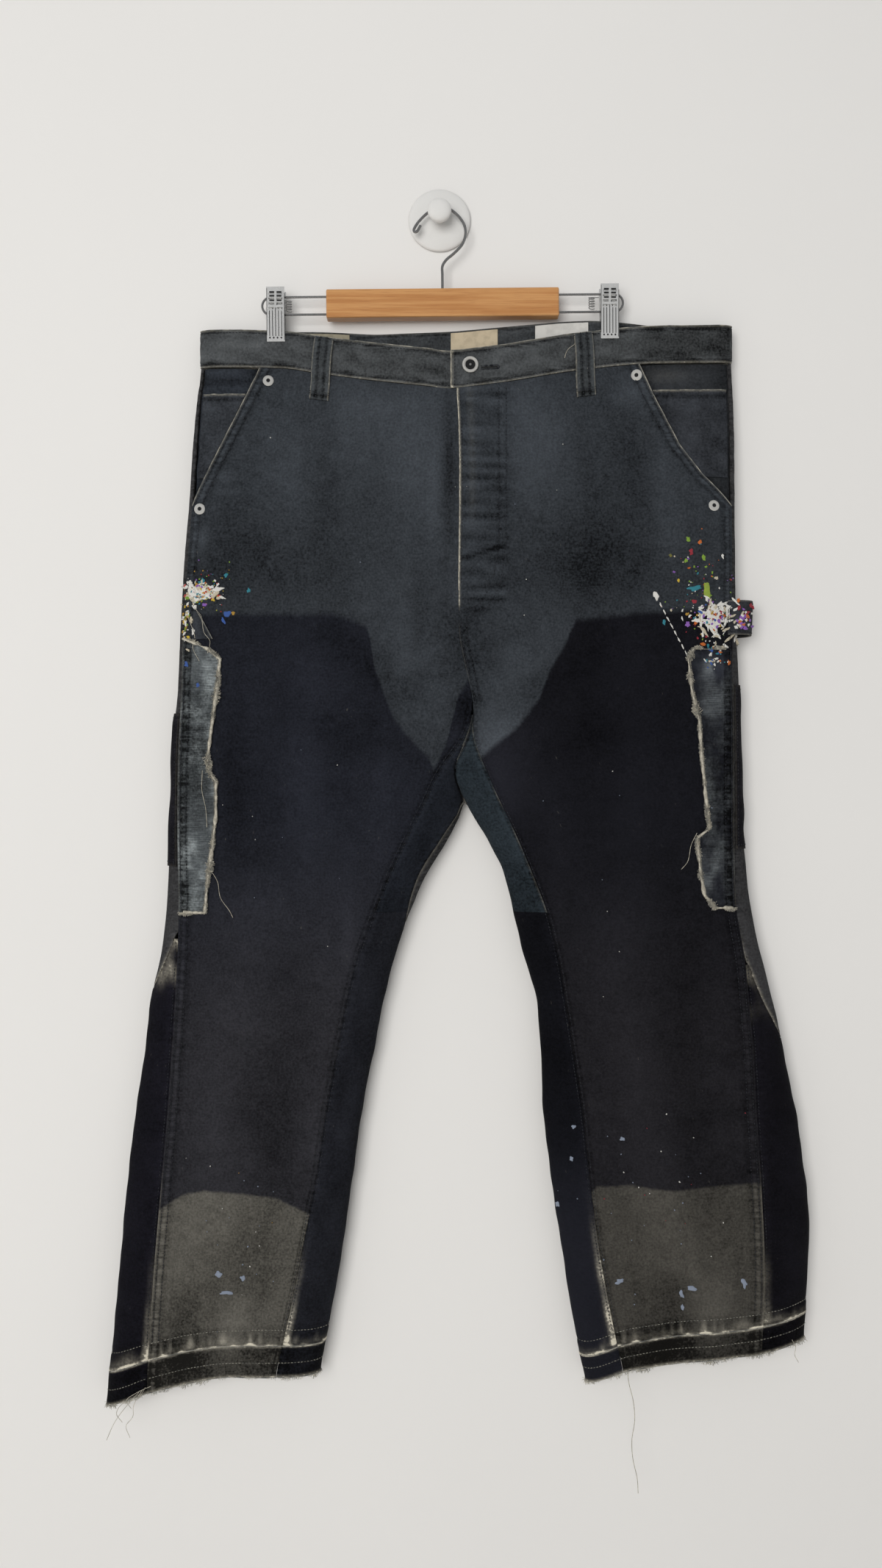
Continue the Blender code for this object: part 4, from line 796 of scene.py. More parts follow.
# x, z, half width, half height and amount of lighter and darker spots on the front panels: partly the
# canvas's uneven fading and partly painted shade where layers overlap and folds fall, as beside the fly and
# along the left inseam
toneSpots = [
    (-22, -285, 26, 60, 0.35), (101, -240, 34, 50, 0.45), (200, -272, 22, 62, -0.35),
    (235, -278, 9, 30, 0.2), (207, -192, 18, 16, 0.5), (-118, -320, 22, 110, -0.2), (-55, -232, 46, 42, 0.3),
    (10, -262, 6, 76, -0.45), (-6, -300, 7, 60, 0.35), (34, -520, 14, 16, -0.4), (-18, -478, 22, 30, 0.2),
    (78, -470, 26, 30, 0.2), (-240, -385, 22, 30, -0.2), (-235, -250, 20, 60, -0.2),
    (130, -370, 70, 40, -0.2), (262, -380, 30, 50, -0.15), (58, -290, 14, 90, -0.25),
    (-142, -700, 30, 300, 0.22), (-190, -900, 40, 110, -0.1), (205, -620, 30, 160, 0.2),
    (-215, -1100, 60, 40, -0.12), (230, -1085, 60, 40, 0.12), (-60, -640, 12, 60, 0.2),
    (-95, -760, 9, 60, 0.3), (60, -620, 14, 60, 0.2), (120, -700, 12, 90, 0.2), (-200, -368, 66, 54, -0.38),
    (165, -378, 58, 66, -0.42), (238, -345, 16, 34, 0.3), (60, -596, 42, 56, 1.1), (-226, -282, 11, 9, 0.5),
    (-222, -299, 16, 3.5, 0.4), (-250, -348, 8, 14, 0.7), (-214, -610, 16, 120, -0.3),
    (-140, -560, 16, 90, 0.2), (24, -535, 14, 26, -0.5), (8, -590, 14, 34, -0.3), (82, -205, 20, 34, 0.35),
    (-60, -205, 50, 16, 0.3), (-40, -470, 8, 40, 0.2), (60, -470, 12, 34, -0.15), (-100, -250, 16, 70, 0.15),
    (-22, -420, 10, 40, -0.22),
]
hemLines = {left: (-1173.5, -1189.5, -1207), right: (-1164, -1178, -1191)}      # stitches, fold, lower row


def hemFields(side, h, x):
    # a bright fold line with faint puckers above it, and a dark band below; the puckers are raised and also
    # painted lighter on their ridges and darker between them, which is painted light and shade
    stitches, fold, lower = hemLines[side]
    uneven = wobble(x, 0, 24, 35)
    above = ease((h - fold) / 3)
    turned = ease((stitches + 1 - h) / 3)
    puckers = np.sin(x * 0.4 + 2.6 * np.sin(x * 0.13) + 1.9 * np.sin(x * 0.047))
    puckers = puckers * hump(h - (fold + 7), 8) * (0.3 + 0.8 * np.abs(uneven)) * above
    tone = 0.3 * puckers - 0.25 * turned - 0.42 * ease((fold - 1.5 - h) / 3) - 0.2 * hump(h - stitches - 2, 3)
    wearing = (1 + 0.45 * uneven) * hump(h - fold - 0.8 * uneven, 1.3) + 0.28 * np.maximum(puckers, 0)
    wearing += 0.22 * hump(h - fold - 4, 4) * above + 0.12 * hump(h - lower, 1)
    wearing += 0.8 * hump(h - lowest[side], 2)
    relief = 0.5 * ease((stitches - h) / 3) - 0.4 * hump(h - stitches, 2) + 0.35 * hump(h - fold, 2.5)
    return tone, wearing, relief + 0.3 * puckers


def aboveHem(side, h):
    return ease((h - hemLines[side][1] - 1) / 5)


def frontPanel(side):
    rows = np.concatenate([ladder(bandSeam - 0.6, cut["slantEnd"], frontSizes["step"]),
                           ladder(cut["slantEnd"], lowest[side], frontSizes["step"], 60, 1.8)[1:]])
    grid = frontGrid(side, rows, crowded(frontSizes["columns"]))
    x, z, h, first, last = measure(grid, rows)
    slant = ease((h - cut["slantEnd"]) / 10)
    noiseAlong = wobble(x * 0.3, h, 15, 5 + side)
    relief = frontSizes["wave"] * wobble(x, z, 60, 11 + side) + 0.16 * wobble(x, z, 17, 21 + side)
    rim = ease(first / 14) * ease(last / 14)
    relief = relief * rim
    felled = ridge(first, 0, 11, 1.3) * frontSizes["felled"]
    seamRow, innerRow = frontSizes["seamRow"], frontSizes["seamRowInner"]
    dents = hump(first - seamRow, 1.6) + hump(first - innerRow, 1.8)
    relief += felled - 0.35 * dents
    relief += frontSizes["welt"] * hump(first, 3.5) * slant
    relief += frontSizes["pucker"] * noiseAlong * fading(first - 7, 7)
    inseamShare = ease((cut["frontCrotch"] - h) / 20)
    relief += (-0.3 * hump(last - 2.2, 1.8) + 0.25 * noiseAlong * fading(last, 6)) * inseamShare
    fly = 1 - ease((-h - 380) / 45)
    curve = 52 - 30 * ease((-h - 330) / 95)
    hemTone, hemWear, hemRelief = hemFields(side, h, x)
    relief += hemRelief
    # painted light and shade: the folds are painted lighter on their ridges and darker in their troughs
    tone = spots(toneSpots, x, z) + 0.18 * foldHeight(frontFolds[:13], x, h)
    tone += 0.15 * foldHeight(frontFolds[13:], x, h)
    tone += 0.07 * wobble(x, z * 0.4, 70, 31 + side) + hemTone
    tone += 0.25 * hump(first - 6.5, 2.6) - 0.2 * hump(first - 13, 2.2)
    tone -= 0.42 * (hump(first - seamRow, 1.3) + hump(first - innerRow - slant, 1.3))
    wearing = hemWear + 0.55 * hump(first, 1.6) * slant
    tone -= 0.4 * inseamShare * (hump(last, 1.6) + hump(last - 4.4, 1))
    pucker = fading(first - 6.5, 4) + 0.7 * fading(last, 4) * inseamShare
    if side == right:
        waves = wobble(last * 0.12, z, 12, 33) * ridge(last, 3, 50, 5) * ridge(-z, 176, 420, 14)
        relief += frontSizes["lap"] * fly * (1 - ease((last - curve) / 3)) + 0.45 * waves
        flyRows = hump(last - frontSizes["flyRow"], 1.5) + hump(last - frontSizes["flyRowInner"], 1.5)
        flyShare = ridge(-z, 191, 372, 6)
        # painted light and shade: the waves beside the fly are painted lighter where they are raised and
        # darker where they sink
        tone += 0.3 * waves - 0.25 * flyRows * flyShare
        tone += 0.5 * np.maximum(wobble(z, 0, 9, 34), 0) * hump(last - 12, 5) * ridge(-z, 176, 350, 14)
        # painted shade: each crease is painted darker as well as pressed in
        for crease, slope, deep in flyCreases:
            line = z - crease + slope * (10 - last / 2)
            tone -= deep * hump(line, 2.6) * ridge(last, 2, 46, 6)
            relief -= 0.5 * deep * hump(line, 3.2) * ridge(last, 2, 46, 6)
        pucker += 0.3 * hump(last - 45, 6) * flyShare
        edgeWear = 0.9 * hump(last, 1.6) * ridge(-z, 170, 420, 6)
        wearing += 0.15 * hump(last - 13, 5) * ridge(-z, 170, 330, 30) + edgeWear
        wearing += 0.22 * hump(last, 1.3) * ridge(-z, 436, 500, 8)
        tone -= 0.4 * (hump(last - 2.8, 1.3) + hump(last - 8.2, 1.3)) * ridge(-z, 436, 520, 8)
    if side == left:
        wearing += 0.62 * hump(first - 1, 1.8) * ridge(-z, 557, 737, 14)
    wearing += 0.4 * hump(first, 1.3) * ridge(-z, 1010, 1170, 30) * aboveHem(side, h)
    ghost = read(ghostTop[side], 1, x) - z
    shin = read(shinTop[side], 1, x) - z
    return wall("front_panel_" + word[side], grid, -side, frontMaterial(side), "canvas_slate", relief,
                {"tone": tone, "wear": wearing, "pucker": pucker, "ghost": ghost, "shin": shin})


for side in legs:
    frontPanel(side)

print("back panels")
backSizes = {"step": 5.6, "felled": 0.6, "pucker": 0.3, "wave": 0.6}
backCloth = canvasMaterial("back", clothLook["back"])


def backPanel(side):
    rows = ladder(bandSeam - 0.6, lowest[side], backSizes["step"], 60, 2.4)
    shares = runsOf((0, 0.4, 24), (0.4, 0.7, 30), (0.7, 1, 16))
    grid = backGrid(side, rows, shares[None, :])
    x, z, h, first, last = measure(grid, rows)
    noiseAlong = wobble(x * 0.3, h, 16, 41 + side)
    relief = backSizes["wave"] * wobble(x, z, 64, 43 + side) * ease(first / 16) * ease(last / 16)
    felled = backSizes["felled"] * ridge(last, 0, 11, 1.5)
    relief += felled - 0.3 * hump(last - 3.3, 1.8) - 0.3 * hump(last - 9.7, 1.8)
    relief += backSizes["pucker"] * noiseAlong * (fading(first, 6) + fading(last - 7, 7))
    hemTone, hemWear, hemRelief = hemFields(side, h, x + 7)
    relief += hemRelief
    seat = spots([(-100, -430, 60, 90, 0.35), (160, -430, 60, 90, 0.35), (-180, -800, 60, 80, 0.2),
                  (220, -800, 60, 80, 0.2), (27, -300, 30, 90, -0.15)], x, z)
    # painted light and shade: the folds are painted lighter on their ridges and darker in their troughs
    tone = seat + 0.14 * foldHeight(backFolds, x, h) + 0.18 * wobble(x, z * 0.4, 75, 47 + side) + hemTone
    tone = tone + 0.2 * hump(last - 6.5, 3.5)
    wearing = hemWear + 0.35 * hump(last, 1.8) + 0.6 * hump(first, 3) * ridge(-h, 770, 880, 30)
    pucker = fading(first, 5) + fading(last - 6.5, 5)
    return wall("back_panel_" + word[side], grid, side, backCloth, "canvas_back", relief,
                {"tone": tone, "wear": wearing, "pucker": pucker})


for side in legs:
    backPanel(side)

print("gussets, inserts and flares")
insertSizes = {"step": 3.6, "columns": 26}


def sidePiece(kind, side, build, top, low, facing, look, slotName, wornEdges=0.35, glowFrom=1300, glow=1.15):
    finer = 60 if low == lowest[side] else 0
    rows = ladder(top, low, insertSizes["step"], finer, 2)
    grid = build(side, rows, crowded(insertSizes["columns"], 0.05))
    x, z, h, first, last = measure(grid, rows)
    edge = np.minimum(first, last)
    noiseAlong = wobble(z * 0.2, h, 13, 51 + side)
    relief = 0.4 * wobble(x + grid[..., 1], z, 45, 53 + side) * ease(edge / 12)
    relief += 0.3 * noiseAlong * fading(edge, 6) - 0.35 * hump(edge - 2.4, 1.6) - 0.5 * hump(edge, 0.9)
    tone = 0.14 * wobble(x + grid[..., 1], z * 0.5, 50, 57 + side)
    tone = tone + 0.35 * hump(edge - 4, 3) - 0.35 * hump(edge - 2, 1.2)
    wearing = wornEdges * hump(edge, 1.4) * (0.6 + 0.4 * wobble(0, z, 40, 59))
    if kind == "crotch_gusset":
        tone = tone - 0.3 * ease((-h - 640) / 70)
    if kind == "flare_insert":
        uneven = 0.6 + 0.5 * wobble(x, z * 0.5, 16, 62)
        wearing += (0.7 if side == left else 0.3) * ease((h - top + 75) / 60) * uneven
    if kind == "inner_insert" and side == right:
        tone = tone + 1.9 * ease((-h - 940) / 130)
    # cream glow that grows down the lower seams
    glowing = ease((-h - glowFrom) / 150) * aboveHem(side, h)
    glow = glow * glowing * hump(first - 2.2, 4.2) * (0.9 + 0.2 * wobble(z, 0, 30, 60))
    wearing = wearing * aboveHem(side, h) + glow
    if finer:
        hemTone, hemWear, hemRelief = hemFields(side, h, x + grid[..., 1])
        tone, wearing, relief = tone + hemTone, wearing + hemWear, relief + hemRelief
    finish = canvasMaterial("%s_%s" % (kind, word[side]), clothLook[look][side], 0.45, 0.45)
    return wall("%s_%s" % (kind, word[side]), grid, facing, finish, slotName, relief,
                {"tone": tone, "wear": wearing, "pucker": fading(edge, 5)},
                rests=("front_panel_" + word[side], "back_panel_" + word[side]))


for side in legs:
    sidePiece("crotch_gusset", side, innerGrid, cut["frontCrotch"] - 10, cut["gussetSeam"] + 0.15, -side,
              "gusset", "canvas_gusset", 0.55 if side == right else 0.15)
    sidePiece("inner_insert", side, innerGrid, cut["gussetSeam"] - 0.15, lowest[side], -side,
              "insert", "canvas_navy", 0.1, 1010 if side == right else 1060)
    sidePiece("flare_insert", side, flareGrid, flares[side][-1, 0] - 8, lowest[side], side,
              "flare", "canvas_navy", 0.12, 1060, 0.85)

print("waistband")
bandSizes = {
    "step": 4, "rows": 14, "puff": 0.35, "stitchIn": 2.4,
    "tones": [(-205, 24, 40, 7, 0.5), (-245, 14, 20, 8, 0.4), (72, 22, 40, 13, 0.4), (22, 12, 8, 10, 0.3)],
}


def bandPath():
    # stations round the waist from the upper lap to the underlap: point, and how far the band sinks there
    step = bandSizes["step"]

    def level(builder, side, places):
        at = builder(side, places, np.full(len(places), bandSeam - 2))
        top = builder(side, places, np.full(len(places), bandSeam))
        at[:, 2] = top[:, 2]
        return at

    def run(start, stop):
        return np.linspace(start, stop, int(abs(stop - start) / step) + 1)

    wide = sqrt(cut["sideRound"])
    edgeAt = {side: read(sections[side], outerEdge, bandSeam) for side in legs}
    seams = {side: sideSeam(side, bandSeam) for side in legs}
    firstBend = {side: sqrt(abs(edgeAt[side] - seams[side])) for side in legs}
    parts = [level(frontPoint, right, run(cut["bandLapEnd"], seams[right])),
             level(roundOuter, right, np.linspace(firstBend[right], -wide, 22)[1:]),
             level(backPoint, right, run(edgeAt[right] - cut["sideRound"], cut["centreBack"]))[1:],
             level(backPoint, left, run(cut["centreBack"], edgeAt[left] + cut["sideRound"]))[1:],
             level(roundOuter, left, np.linspace(-wide, firstBend[left], 22)[1:]),
             level(frontPoint, left, run(seams[left], -12))[1:]]
    sinks = [np.zeros(len(part)) for part in parts]
    under = np.linspace(-9, cut["bandUnderlapEnd"], 17)
    parts.append(level(frontPoint, right, under))
    sinks.append(3.2 * ease((under + 12) / 18))
    return np.concatenate(parts), np.concatenate(sinks)


def bandNormals(path):
    along = np.gradient(path, axis=0)
    normals = np.stack([along[:, 1], -along[:, 0], np.zeros(len(path))], 1)
    return unit(normals)


bandLine, bandSink = bandPath()
bandOut = bandNormals(bandLine)
levels = np.linspace(0, 1, bandSizes["rows"])
bandTop, bandFoot = cut["bandHeight"], cut["seamGap"] / 2
heights = mix(bandTop, bandFoot, levels)[:, None]
offsets = (cut["bandProud"] - bandSink)[None, :] * np.ones_like(heights)
bandGrid = bandLine[None] + bandOut[None] * offsets[..., None]
bandGrid[..., 2] = bandLine[None, :, 2] + heights
toEdge = np.minimum(heights - bandFoot, bandTop - heights)
arc = seamDistances(bandGrid)[0]
relief = bandSizes["puff"] * ease(toEdge / 7) - 0.3 * hump(toEdge - bandSizes["stitchIn"], 1.2)
relief = relief + 0.16 * wobble(arc, heights * 2, 22, 61) + 0.14 * np.sin(arc / 1.6) * hump(toEdge - 3, 4)
xBand = bandGrid[..., 0]
onFront = (arc < 300) | (arc > arc.max() - 330)
tone = 0.16 * wobble(arc, heights * 2, 34, 63) - 0.4 * hump(toEdge - bandSizes["stitchIn"], 1.4)
tone += np.where(onFront, -0.08 * hump(xBand - 10, 70) - 0.38 * ease((xBand - 190) / 60), 0)
tone += np.where(onFront, spots(bandSizes["tones"], xBand, heights), 0)
wearing = 0.45 * hump(bandTop - heights, 1.5) * np.where(onFront, 1, 0.7)
wearing = wearing + 0.55 * hump(heights - bandFoot, 1.2) + 0.6 * hump(arc, 1.8)
bandCloth = canvasMaterial("waistband", clothLook["band"], 0.6, 0.42, 0.2, clothLook["bandInside"])
wall("waistband", bandGrid, 1, bandCloth, "canvas_slate", relief,
     {"tone": tone, "wear": wearing, "pucker": hump(toEdge - 3, 3.5)}, cut["bandThick"],
     [part + word[side] for side in legs for part in clipParts[:2]], False)


def skinPoint(face, side, x, h):
    return frontPoint(side, x, h) if face == "front" else backPoint(side, x, h)


def skinNormals(face, side, x, h):
    across = skinPoint(face, side, x + 1, h) - skinPoint(face, side, x - 1, h)
    down = skinPoint(face, side, x, h - 2) - skinPoint(face, side, x, h + 2)
    return unit(np.cross(down, across)) * (1 if face == "front" else -1)


def restOn(carrier, points, normals):
    # each point moved along its normal onto the carrier's face
    placed = points.copy()
    for index in np.ndindex(points.shape[:-1]):
        normal = Vector(normals[index])
        found = skins[carrier].ray_cast(Vector(points[index]) + normal * 8, -normal, 16)[0]
        if found is not None:
            placed[index] = found
    return placed


def layOn(name, carrier, face, side, outline, thick, finish, slotName, gap=cut["layGap"], columns=14,
          step=3, relief=None, fields=None, rests=None, slant=0):
    # a piece on a panel; the outline's rows are height, first x, last x; slant tips its top edge
    rows = table(*outline)
    h = ladder(rows[-1, 0], rows[0, 0], step)
    shares = np.linspace(0, 1, columns)[None, :]
    x = mix(np.interp(h, rows[:, 0], rows[:, 1]), np.interp(h, rows[:, 0], rows[:, 2]), shares)
    x, h = spread(x, h)
    h = h + slant * (0.5 - shares) * hump(rows[-1, 0] - h, 22)
    points = skinPoint(face, side, x, h)
    normals = skinNormals(face, side, x, h)
    if carrier:
        points = restOn(carrier, points, normals)
    points = points + normals * (gap + thick)
    rightwards = x[0, -1] > x[0, 0]
    facing = 1 if (face == "front") == rightwards else -1
    first, last = seamDistances(points)
    made = fields(x, points[..., 2], first, last, h) if fields else None
    lift = relief(x, points[..., 2], first, last) if relief else None
    return wall(name, points, facing, finish, slotName, lift, made, thick, rests or (carrier,), False)


print("pockets")
pocketSizes = {
    "behind": cut["cloth"] + cut["facingGap"], "patchThick": 1.1, "toolThick": 1.2,
    "toolEnds": {left: (-530, -690), right: (-500, -672)},
}


def pocketFacing(side):
    rows = ladder(bandSeam - 0.6, cut["slantEnd"] - 14, 4)
    inner = read(slants[side], 1, rows) - side * 13
    x = mix(sideSeam(side, rows), inner, np.linspace(0, 1, 22)[None, :])
    grid = frontPoint(side, x, rows)
    grid = grid - gridNormals(grid, -side) * pocketSizes["behind"]
    x, z = grid[..., 0], grid[..., 2]
    folds = hump(z + 170 + 0.12 * (x + 225), 3.5) - hump(z + 178 - 0.1 * (x + 225), 3.5)
    folds = folds + 0.6 * hump(z + 186, 3)
    relief = 0.35 * wobble(x * 0.5, z, 26, 71 + side) + 0.6 * folds
    edge = read(slants[side], 1, np.broadcast_to(rows, x.shape))
    # painted shade: the folds are painted lighter on their ridges and darker in their troughs, and the facing
    # is painted darker next to the slant edge, where the front panel's edge shades it
    tone = 0.14 * wobble(x * 0.5, z, 30, 73 + side) + 0.3 * folds - 0.5 * hump((x - edge) * side, 6)
    wearing = 0
    if side == right:
        wearing = 0.16 * hump(x - 240, 30) * hump(z + 172, 11)
        tone = tone + 0.6 * hump(x - 246, 34) * hump(z + 174, 12)
    finish = canvasMaterial("facing" + word[side].title(), clothLook["facing"][side], 0.6)
    wall("pocket_facing_" + word[side], grid, -side, finish, "canvas_slate", relief,
         {"tone": tone, "wear": wearing}, rests=("waistband", "front_panel_" + word[side]))
    edgeRows = [(height, sideSeam(side, height) - side * 2.5, read(slants[side], 1, height) + side * 2)
                for height in (-190, -205, -222, -236, -250, -266, -282)]

    def patchFields(x, z, first, last, h):
        top = np.abs(h + 190)
        tone = 0.15 * wobble(x * 0.5, z, 22, 75) - 0.45 * hump(top - 6, 1.6)
        return {"wear": 0.6 * hump(top, 1.6), "tone": tone}

    layOn("patch_pocket_" + word[side], "pocket_facing_" + word[side], "front", side, edgeRows,
          pocketSizes["patchThick"], canvasMaterial("patch_" + word[side], clothLook["patch"][side]),
          "canvas_slate", columns=20, fields=patchFields)


for side in legs:
    pocketFacing(side)

print("fly underlap")
flyRows = []
for height, reach in ((-164, 40), (-200, 40), (-250, 40), (-312, 40), (-350, 39), (-380, 33), (-398, 20)):
    seam = read(sections[right], frontSeam, height)
    flyRows.append((height, seam - 13, seam + reach))
layOn("fly_underlap", None, "front", right, flyRows, cut["cloth"], canvasMaterial("fly", clothLook["slate"]),
      "canvas_slate", gap=-cut["cloth"] * 2 - cut["layGap"], columns=16, rests=("waistband",))

print("remnants of the knee patches")
remnantSizes = {"thick": 1.2, "flapThick": 1.8, "tip": {left: 12, right: 0}}
# height and x of the torn inner side
remnants = {
    left: table(
        (-458, -240), (-470, -228), (-494, -230), (-536, -235.5), (-578, -241), (-590, -240), (-602, -232.5),
        (-636, -232.5), (-668, -236), (-703, -241), (-738, -244)),
    right: table(
        (-464, 264), (-474, 258.5), (-505, 262), (-538, 270), (-578, 273), (-618, 277), (-650, 281),
        (-660, 268), (-700, 272), (-720, 276), (-733, 288)),
}


def remnantMaterial(side):
    made, tree, shader = newMaterial("canvas_remnant_" + word[side])
    where = addNode(tree, "ShaderNodeTexCoord").outputs
    threads = noise(tree, where["UV"], 1, 3, (70, 900, 1))
    clouds = noise(tree, where["Object"], 34, 4, (1, 1, 0.6))
    pale = ramp(tree, clouds, 0.45, 0.75, 0, 0.6 if side == left else 0.2)
    base = blend(tree, pale, clothLook["remnant"][side], (0.36, 0.4, 0.41))
    base = blend(tree, ramp(tree, threads, 0.35, 0.65, 0.5, 0), base, clothLook["dark"])
    clothShader(tree, shader, base, 0.5, 0.5, 0.3)
    return made


remnantTones = {
    left: [(-250, -482, 16, 20, 0.7), (-256, -560, 20, 40, -0.35), (-252, -600, 20, 20, -0.3),
           (-250, -665, 20, 18, 0.45), (-248, -700, 20, 20, 0.5)],
    right: [(290, -482, 22, 14, 2.2), (286, -520, 14, 22, 0.7), (290, -600, 20, 40, -0.3),
            (284, -700, 16, 24, 0.5)],
}
for side in legs:
    rows = [(h, sideSeam(side, h) - side * 1.2, x) for h, x in remnants[side]]

    def remnantRelief(x, z, first, last):
        rowDents = hump(first - 4.5, 1.4) + hump(first - 10.9, 1.4)
        rolled = 0.3 * wobble(x * 0.5, z, 18, 81) * ease(first / 6) + 0.3 * hump(last, 3)
        return rolled + 0.5 * hump(first - 7.5, 5) - 0.35 * rowDents

    def remnantFields(x, z, first, last, h):
        seam = ridge(first, 0, 11, 1.5)
        tone = spots(remnantTones[side], x, z) * (1 - 0.6 * seam) + 0.12 * wobble(x * 0.3, z, 10, 83)
        tone = tone - 0.4 * seam - 0.4 * (hump(first - 4.5, 1.3) + hump(first - 10.9, 1.3))
        wearing = 0.7 * hump(last, 1.8) + 0.25 * hump(first, 2)
        return {"wear": wearing, "tone": tone, "pucker": hump(first - 6.5, 5)}

    layOn("knee_remnant_" + word[side], "front_panel_" + word[side], "front", side, rows,
          remnantSizes["thick"], remnantMaterial(side), "canvas_remnant", cut["remnantGap"], 22, 2.4,
          remnantRelief, remnantFields, slant=remnantSizes["tip"][side])


def flapFields(x, z, first, last, h):
    return {"tone": 0.5 * hump(first - last, 7), "wear": 0.4 * hump(last, 1.2)}


flapRows = [(-424, -258, -252), (-438, -262, -244), (-453, -265.5, -236)]
layOn("knee_flap", "front_panel_left", "front", left, flapRows, remnantSizes["flapThick"],
      canvasMaterial("flap", clothLook["flap"]), "canvas_slate", cut["remnantGap"], 12, 2, fields=flapFields)

print("tool pockets")
for side in legs:
    top, low = pocketSizes["toolEnds"][side]
    rows = ladder(top, low, 4.5)
    grid = backGrid(side, rows, runsOf((0.008, 0.4, 26), (0.4, 0.47, 9))[None, :])
    normals = gridNormals(grid, side)
    grid = restOn("back_panel_" + word[side], grid, normals)
    grid = grid + normals * (cut["layGap"] + pocketSizes["toolThick"])
    x, z, h, first, last = measure(grid, rows)
    edge = np.minimum.reduce([first, last, top - h, h - low])
    relief = 0.4 * wobble(x + grid[..., 1], z, 40, 91 + side) * ease(edge / 10) - 0.2 * hump(edge - 2.5, 1.5)
    fields = {"tone": 0.2 * wobble(x, z, 40, 93), "wear": 0.22 * hump(edge, 1.4), "pucker": fading(edge, 4)}
    finish = canvasMaterial("tool_pocket_" + word[side], clothLook["toolPocket"])
    wall("tool_pocket_" + word[side], grid, side, finish, "canvas_back", relief, fields,
         pocketSizes["toolThick"], ("back_panel_" + word[side],), False)

print("loops")
loopSizes = {"width": 20, "thick": 2, "rise": 2.6, "hammerTop": -412, "hammerHeight": 36, "hammerSag": 1.5}
loopCloth = canvasMaterial("loops", clothLook["loop"], 0.4, 0.4, 0.3)
# name, face, side, x at the top and at the foot
beltLoops = [
    ("belt_loop_front_left", "front", left, -121, -127), ("belt_loop_front_right", "front", right, 151, 155),
    ("belt_loop_back_left", "back", left, -118, -118), ("belt_loop_back_centre", "back", right, 40, 40),
    ("belt_loop_back_right", "back", right, 214, 214),
]
for name, face, side, xTop, xLow in beltLoops:
    share = np.linspace(0, 1, 34)[:, None]
    h = mix(bandSeam + cut["bandHeight"] - 1, bandSeam - 29, share)
    onBand = np.where(h > bandSeam - 5, cut["bandProud"], 0)
    lift = cut["layGap"] + onBand + loopSizes["rise"] * np.sin(np.pi * np.minimum(share / 0.68, 1))
    x = mix(xTop, xLow, share) + np.linspace(-0.5, 0.5, 13)[None, :] * loopSizes["width"]
    x, h = spread(x, h)
    level = np.minimum(h, bandSeam - 2)
    grid = skinPoint(face, side, x, level)
    above = skinPoint(face, side, x, np.full_like(h, bandSeam))
    grid[..., 2] = np.where(h > bandSeam - 2, above[..., 2] + h - bandSeam, grid[..., 2])
    normals = skinNormals(face, side, x, level)
    normals[..., 2] = 0
    normals = unit(normals)
    lower = (h < bandSeam - 5)[..., None]
    grid = np.where(lower, restOn("%s_panel_%s" % (face, word[side]), grid, normals), grid)
    grid = grid + normals * (lift + loopSizes["thick"])[..., None]
    rim = np.minimum(*seamDistances(grid))
    relief = -0.45 * hump(rim - 6.2, 1.3) + 0.3 * ease(rim / 2.5) - 0.3
    tone = -0.6 * hump(rim - 6.2, 1.6) - 0.8 * hump(h - (bandSeam - 25), 2.2) + 0.3 * hump(rim - 3, 1.8)
    fields = {"tone": tone, "wear": 0.55 * hump(rim, 1.2), "pucker": 0.5 * hump(rim - 6, 3)}
    wall(name, grid, 1 if face == "front" else -1, loopCloth, "canvas_slate", relief, fields,
         loopSizes["thick"], seamed=False)

hammerPath = [
    (301.5, -33.4), (309, -33.6), (318, -34), (326, -30), (329.5, -21), (327, -11.5), (319, -4.6),
    (304, -3.4), (286, -3),
]
bend = np.array([tuple(point) for point in smoothCurve([Vector((x, y, 0)) for x, y in hammerPath], 46)])
along = np.gradient(bend, axis=0)
outward = unit(np.stack([along[:, 1], -along[:, 0], np.zeros(len(bend))], 1))
level = np.linspace(0, 1, 14)[:, None]
sag = loopSizes["hammerSag"] * level * np.sin(np.pi * np.linspace(0, 1, len(bend)))[None, :]
grid = np.repeat((bend + outward * loopSizes["thick"] / 2)[None], len(level), 0)
grid[..., 0] -= sag
grid[..., 2] = loopSizes["hammerTop"] - loopSizes["hammerHeight"] * level
rim = np.minimum(level, 1 - level) * loopSizes["hammerHeight"]
wall("hammer_loop", grid, 1, canvasMaterial("hammer_loop", clothLook["hammerLoop"], 0.6), "canvas_slate",
     0.3 * ease(rim / 4) - 0.3 * hump(rim - 4, 1.3),
     {"wear": 0.4 * hump(rim, 1.2), "tone": 0.2 * wobble(grid[..., 0] * 2, grid[..., 2], 20, 95)},
     loopSizes["thick"], ("front_panel_right", "back_panel_right"), False)

print("labels")
labelSizes = {"thick": 0.5, "gap": 0.35}
